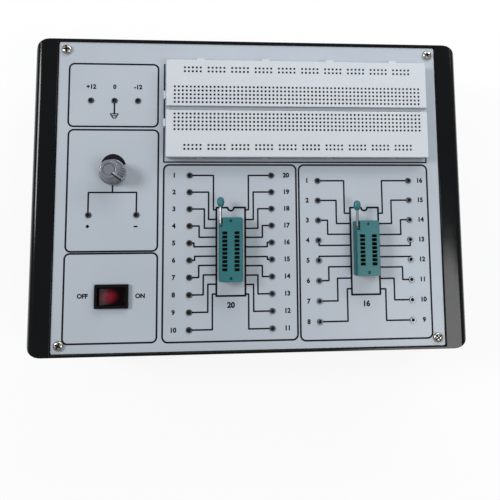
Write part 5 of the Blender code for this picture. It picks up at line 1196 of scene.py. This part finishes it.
cone_heights = [knob_low.z + rise * MM for rise in (2.05, 2.4, 2.9)]
cone_heights += [KNOB_TOP - drop * MM for drop in (3.5, 2.3, 1.8)]
cone = [(cone_radius(height), height) for height in cone_heights]
round_edge = [
    (KNOB_TOP_RADIUS - KNOB_ROUNDING * (1 - sin(angle)), KNOB_TOP - KNOB_ROUNDING * (1 - cos(angle)))
    for angle in (radians(step * 14) for step in range(7))
]
knob_profile = [
    (0, KNOB_TOP - 0.35 * MM),
    (KNOB_CAP_RADIUS - 0.35 * MM, KNOB_TOP - 0.35 * MM),
    (KNOB_CAP_RADIUS - 0.25 * MM, KNOB_TOP - 0.75 * MM),
    (KNOB_CAP_RADIUS, KNOB_TOP - 0.75 * MM),
    (KNOB_CAP_RADIUS + 0.15 * MM, KNOB_TOP - 0.15 * MM),
    (KNOB_CAP_RADIUS + 0.4 * MM, KNOB_TOP),
    *round_edge,
    *reversed(cone),
    (KNOB_BASE - 0.3 * MM, knob_low.z + 2.0 * MM),
    (KNOB_BASE, knob_low.z + 1.75 * MM),
    (KNOB_BASE, knob_low.z),
    (KNOB_BASE - 1.2 * MM, knob_low.z),
    (KNOB_BASE - 1.2 * MM, knob_low.z + 3.2 * MM),
    (3.8 * MM, knob_low.z + 3.2 * MM),
    (3.8 * MM, PANEL_TOP + 5.3 * MM),
    (3.3 * MM, PANEL_TOP + 5.3 * MM),
    (3.3 * MM, shaft_high.z + 0.3 * MM),
    (0, shaft_high.z + 0.3 * MM),
]
knob_mesh = mesh_from(lathe(knob_profile, 216, KNOB_CENTRE, fluted), "voltage_knob", finishes["grey_plastic"])
piece("supply_knob", knob_mesh, "knob", ["voltage_knob"], 50)


def pointer_fin(start, rise, thickness, shift):
    """An upright plate that runs out over the top and down the cone, `rise` above both."""
    bottom = knob_low.z + 2.1 * MM
    outline = [
        (start, KNOB_TOP + rise),
        (KNOB_TOP_RADIUS - 0.4 * MM, KNOB_TOP + rise),
        (KNOB_TOP_RADIUS + rise, KNOB_TOP - 0.8 * MM),
        (cone_radius(bottom) + rise, bottom),
        (start, bottom),
    ]
    bm = extruded([(r, shift - thickness / 2, z) for r, z in outline], (0, thickness, 0))
    bmesh.ops.bevel(bm, geom=list(bm.edges), offset=0.12 * MM, segments=2, affect="EDGES")
    turn = Matrix.Rotation(POINTER_ANGLE, 3, "Z")
    bmesh.ops.rotate(bm, verts=bm.verts, cent=(0, 0, 0), matrix=turn)
    bmesh.ops.translate(bm, verts=bm.verts, vec=(*KNOB_CENTRE, 0))
    return bm


# The second fin is painted shade: a thin near-black plate for the slot beside the pointer.
for name, sizes, material, slot in (
    ("knob_pointer", (3.0, 0.45, 0.8, 0), pointer_grey, "grey_plastic"),
    ("knob_pointer_slot", (2.7, 0.12, 0.9, -0.8), recess_black, "dark_epoxy"),
):
    fin = pointer_fin(*(size * MM for size in sizes))
    piece(name, mesh_from(fin, name, material), "knob")
print("knob faces:", len(knob_mesh.polygons))

# %% [markdown]
# ## Power rocker
#
# The rocker is clear red plastic with soft edges in a black bezel.

# %% Rocker and its housing
rocker = refined("switch_rocker", 0.35 * MM, lambda p: p.z > PANEL_TOP - 1.5 * MM, 3)
bezel = refined("switch_housing", 0.35 * MM, lambda p: p.z > PANEL_TOP + 1.5 * MM, 3)
print("switch faces:", len(rocker.data.polygons), len(bezel.data.polygons))

# %% [markdown]
# ## Screws
#
# Pan-head screws with a cross recess hold the panel. A lathe gives the domed head, and a
# Geometry Nodes tree cuts the recess once and puts a screw at each corner. The same tree
# puts a dark cross of painted shade into each recess, whose floor lies in deep shade.

# %% Panel screws
def screw_tree():
    tree, wires, end = new_tree("cross_recess_screws", {
        "Places": ("Object", None), "Recess Length": ("Float", 3.6 * MM), "Recess Width": ("Float", 0.7 * MM),
        "Recess Depth": ("Float", 1 * MM), "Head Top": ("Float", 0.0), "Material": ("Material", None),
    })
    start = wires["Geometry"]
    lift = start.vector(z=wires["Head Top"])
    shape = start
    for along, across in (("Recess Length", "Recess Width"), ("Recess Width", "Recess Length")):
        size = start.vector(wires[along], wires[across], wires["Recess Depth"] * 2.0)
        bar = start.node("GeometryNodeMeshCube", None, {"Size": size})
        lifted = start.node("GeometryNodeTransform", None, {"Geometry": bar, "Translation": lift})
        shape = start.node("GeometryNodeMeshBoolean", EXACT_CUT, {"Mesh 1": shape, "Mesh 2": lifted}, "Mesh")
    places = start.node("GeometryNodeObjectInfo", None, {"Object": wires["Places"]}, "Geometry")
    turn = start.node("FunctionNodeRandomValue", {"data_type": "FLOAT"}, {2: 0.0, 3: 1.5, "Seed": 7}, 1)
    turned = {"Points": places, "Instance": shape, "Rotation": start.vector(z=turn)}
    end(start.node("GeometryNodeInstanceOnPoints", None, turned))
    return tree


SCREW_TREE = screw_tree()
screw_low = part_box("panel_screw_1")[0]
head = 3.15 * MM
head_height = 1.9 * MM
screw_bottom = screw_low.z - PANEL_TOP
seat = 0.3 * MM
screw_profile = [
    (0, seat + head_height),
    (head * 0.35, seat + head_height * 0.985),
    (head * 0.65, seat + head_height * 0.92),
    (head * 0.86, seat + head_height * 0.76),
    (head * 0.97, seat + head_height * 0.5),
    (head, seat + head_height * 0.2),
    (head * 0.985, seat),
    (1.3 * MM, seat),
    (1.3 * MM, screw_bottom + 1.3 * MM),
    (0.5 * MM, screw_bottom),
    (0, screw_bottom),
]
screw_points = points_mesh(
    "screw_places", [(*span(f"panel_screw_{n}")[2].to_2d(), PANEL_TOP) for n in range(1, 5)]
)
screw_holder = bpy.data.objects.new("screw_places", screw_points)
screw_mesh = mesh_from(lathe(screw_profile, 32), "panel_screw", finishes["steel"])
screws = run_tree(
    SCREW_TREE, "panel_screws", screw_mesh,
    places=screw_holder, recess_length=4.4 * MM, recess_width=0.95 * MM, recess_depth=1.3 * MM,
    head_top=seat + head_height, material=finishes["steel"],
)


def crossed_bars(length, width, low, high):
    """Two bars that cross at the middle, between two heights."""
    bm = bmesh.new()
    for size_x, size_y in ((length, width), (width, length)):
        box_at(bm, Vector((0, 0, (low + high) / 2)), (size_x, size_y, high - low))
    return bm


# The dark cross is painted shade on each recess floor.
# The tree's own recess is lifted a metre, clear of the cross
recess_bottom = seat + head_height - 1.35 * MM
cross = crossed_bars(4.3 * MM, 0.9 * MM, recess_bottom, recess_bottom + 0.9 * MM)
shade = run_tree(
    SCREW_TREE, "screw_recess_shade", mesh_from(cross, "recess", recess_black),
    places=screw_holder, recess_length=1 * MM, recess_width=1 * MM, recess_depth=1 * MM,
    head_top=1.0, material=recess_black,
)
piece("screw_recess_shade", shade, "case")
bpy.data.objects.remove(screw_holder)
piece("panel_screws", screws, "case", [f"panel_screw_{n}" for n in range(1, 5)])
print("screw faces:", len(screws.polygons))

# %% [markdown]
# ## Mains inlet
#
# The inlet's shell is black, with three flat metal blades inside. The blades are short
# plated bars with chamfered tips, fitted over the frame's plain ones.

# %% Inlet shell and blades
inlet_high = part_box("mains_inlet")[1]
inlet = refined("mains_inlet", 0.3 * MM, lambda point: point.y > inlet_high.y - 2.2 * MM, 3)
BLADES = ((-7.0, 0.0), (0.0, 4.0), (7.0, 0.0))
BLADE_SIZE = Vector((2.06 * MM, 12.1 * MM, 4.06 * MM))
INLET_X, INLET_Z = -105.0 * MM, 20.0 * MM
blade_middle_y = inlet_high.y - 16 * MM + BLADE_SIZE.y / 2 - 0.05 * MM


def inlet_blades():
    """Three flat blades, each at its place beside the inlet's middle, with chamfered tips."""
    bm = bmesh.new()
    for x, z in BLADES:
        box_at(bm, Vector((INLET_X + x * MM, blade_middle_y, INLET_Z + z * MM)), BLADE_SIZE)
    tips = [e for e in bm.edges if min(v.co.y for v in e.verts) > blade_middle_y]
    bmesh.ops.bevel(bm, geom=tips, offset=0.5 * MM, segments=2, affect="EDGES")
    return bm


piece("inlet_blades", mesh_from(inlet_blades(), "inlet_blades", nickel), "case")
print("inlet faces:", len(inlet.data.polygons))

# %% [markdown]
# ## Floor and light
#
# A plain pale floor and three soft lamps: a strong one high on the left, which throws the
# shadows to the right, and weaker ones on the right and behind. To the camera the floor
# is nearly white, and it still takes the object's shadow; glossy surfaces see it as white
# too. The lamps are set so that a colour renders about as it is written.

# %% Floor
def floor_finish():
    material = bpy.data.materials.new("floor")
    material.use_nodes = True
    tree = material.node_tree
    shader = next(n for n in tree.nodes if n.type == "BSDF_PRINCIPLED")
    out = next(n for n in tree.nodes if n.type == "OUTPUT_MATERIAL")
    wire = Wire(tree)
    shader.inputs["Base Color"].default_value = (0.86, 0.87, 0.88, 1)
    shader.inputs["Roughness"].default_value = 0.8
    camera_ray = wire.node("ShaderNodeLightPath", output="Is Camera Ray")
    glossy_ray = wire.node("ShaderNodeLightPath", output="Is Glossy Ray")
    through_ray = wire.node("ShaderNodeLightPath", output="Is Transmission Ray")
    glow = wire.node("ShaderNodeEmission", None, {"Color": (1, 1, 1, 1), "Strength": 1.0})
    share = (camera_ray + glossy_ray + through_ray).band(0.0, 1.0) * 0.88
    both = wire.node("ShaderNodeMixShader", None, {0: share, 1: Wire(tree, shader.outputs[0]), 2: glow})
    tree.links.new(both.socket, out.inputs["Surface"])
    return material


bm = bmesh.new()
bmesh.ops.create_grid(bm, x_segments=2, y_segments=2, size=4.0)
floor = bpy.data.objects.new("floor", mesh_from(bm, "floor", floor_finish()))
bpy.context.scene.collection.objects.link(floor)
print("floor ready")

# %% Lamps and world
def softbox(name, place, aim, size, power):
    lamp = bpy.data.lights.new(name, "AREA")
    lamp.shape = "RECTANGLE"
    lamp.size, lamp.size_y = size
    lamp.energy = power
    made = bpy.data.objects.new(name, lamp)
    made.location = place
    made.rotation_euler = (Vector(aim) - Vector(place)).to_track_quat("-Z", "Y").to_euler()
    bpy.context.scene.collection.objects.link(made)


softbox("key_light", (-1.2, 0.3, 1.15), (0, 0, 0.07), (0.5, 0.5), 15.0)
softbox("side_light", (0.5, -0.28, 1.05), (0.05, 0, 0.07), (0.4, 0.4), 3.4)
softbox("rear_light", (0.2, 0.42, 0.38), (0.04, 0.07, 0.07), (0.7, 0.15), 1.9)

world = bpy.data.worlds.new("studio")
bpy.context.scene.world = world
world.use_nodes = True
background = next(n for n in world.node_tree.nodes if n.type == "BACKGROUND")
sky = Wire(world.node_tree)
seen = sky.node("ShaderNodeLightPath", output="Is Camera Ray")
background.inputs["Color"].default_value = (0.97, 0.98, 1.0, 1)
world.node_tree.links.new((seen * 0.74 + 0.26).socket, background.inputs["Strength"])
print("lamps: 3")
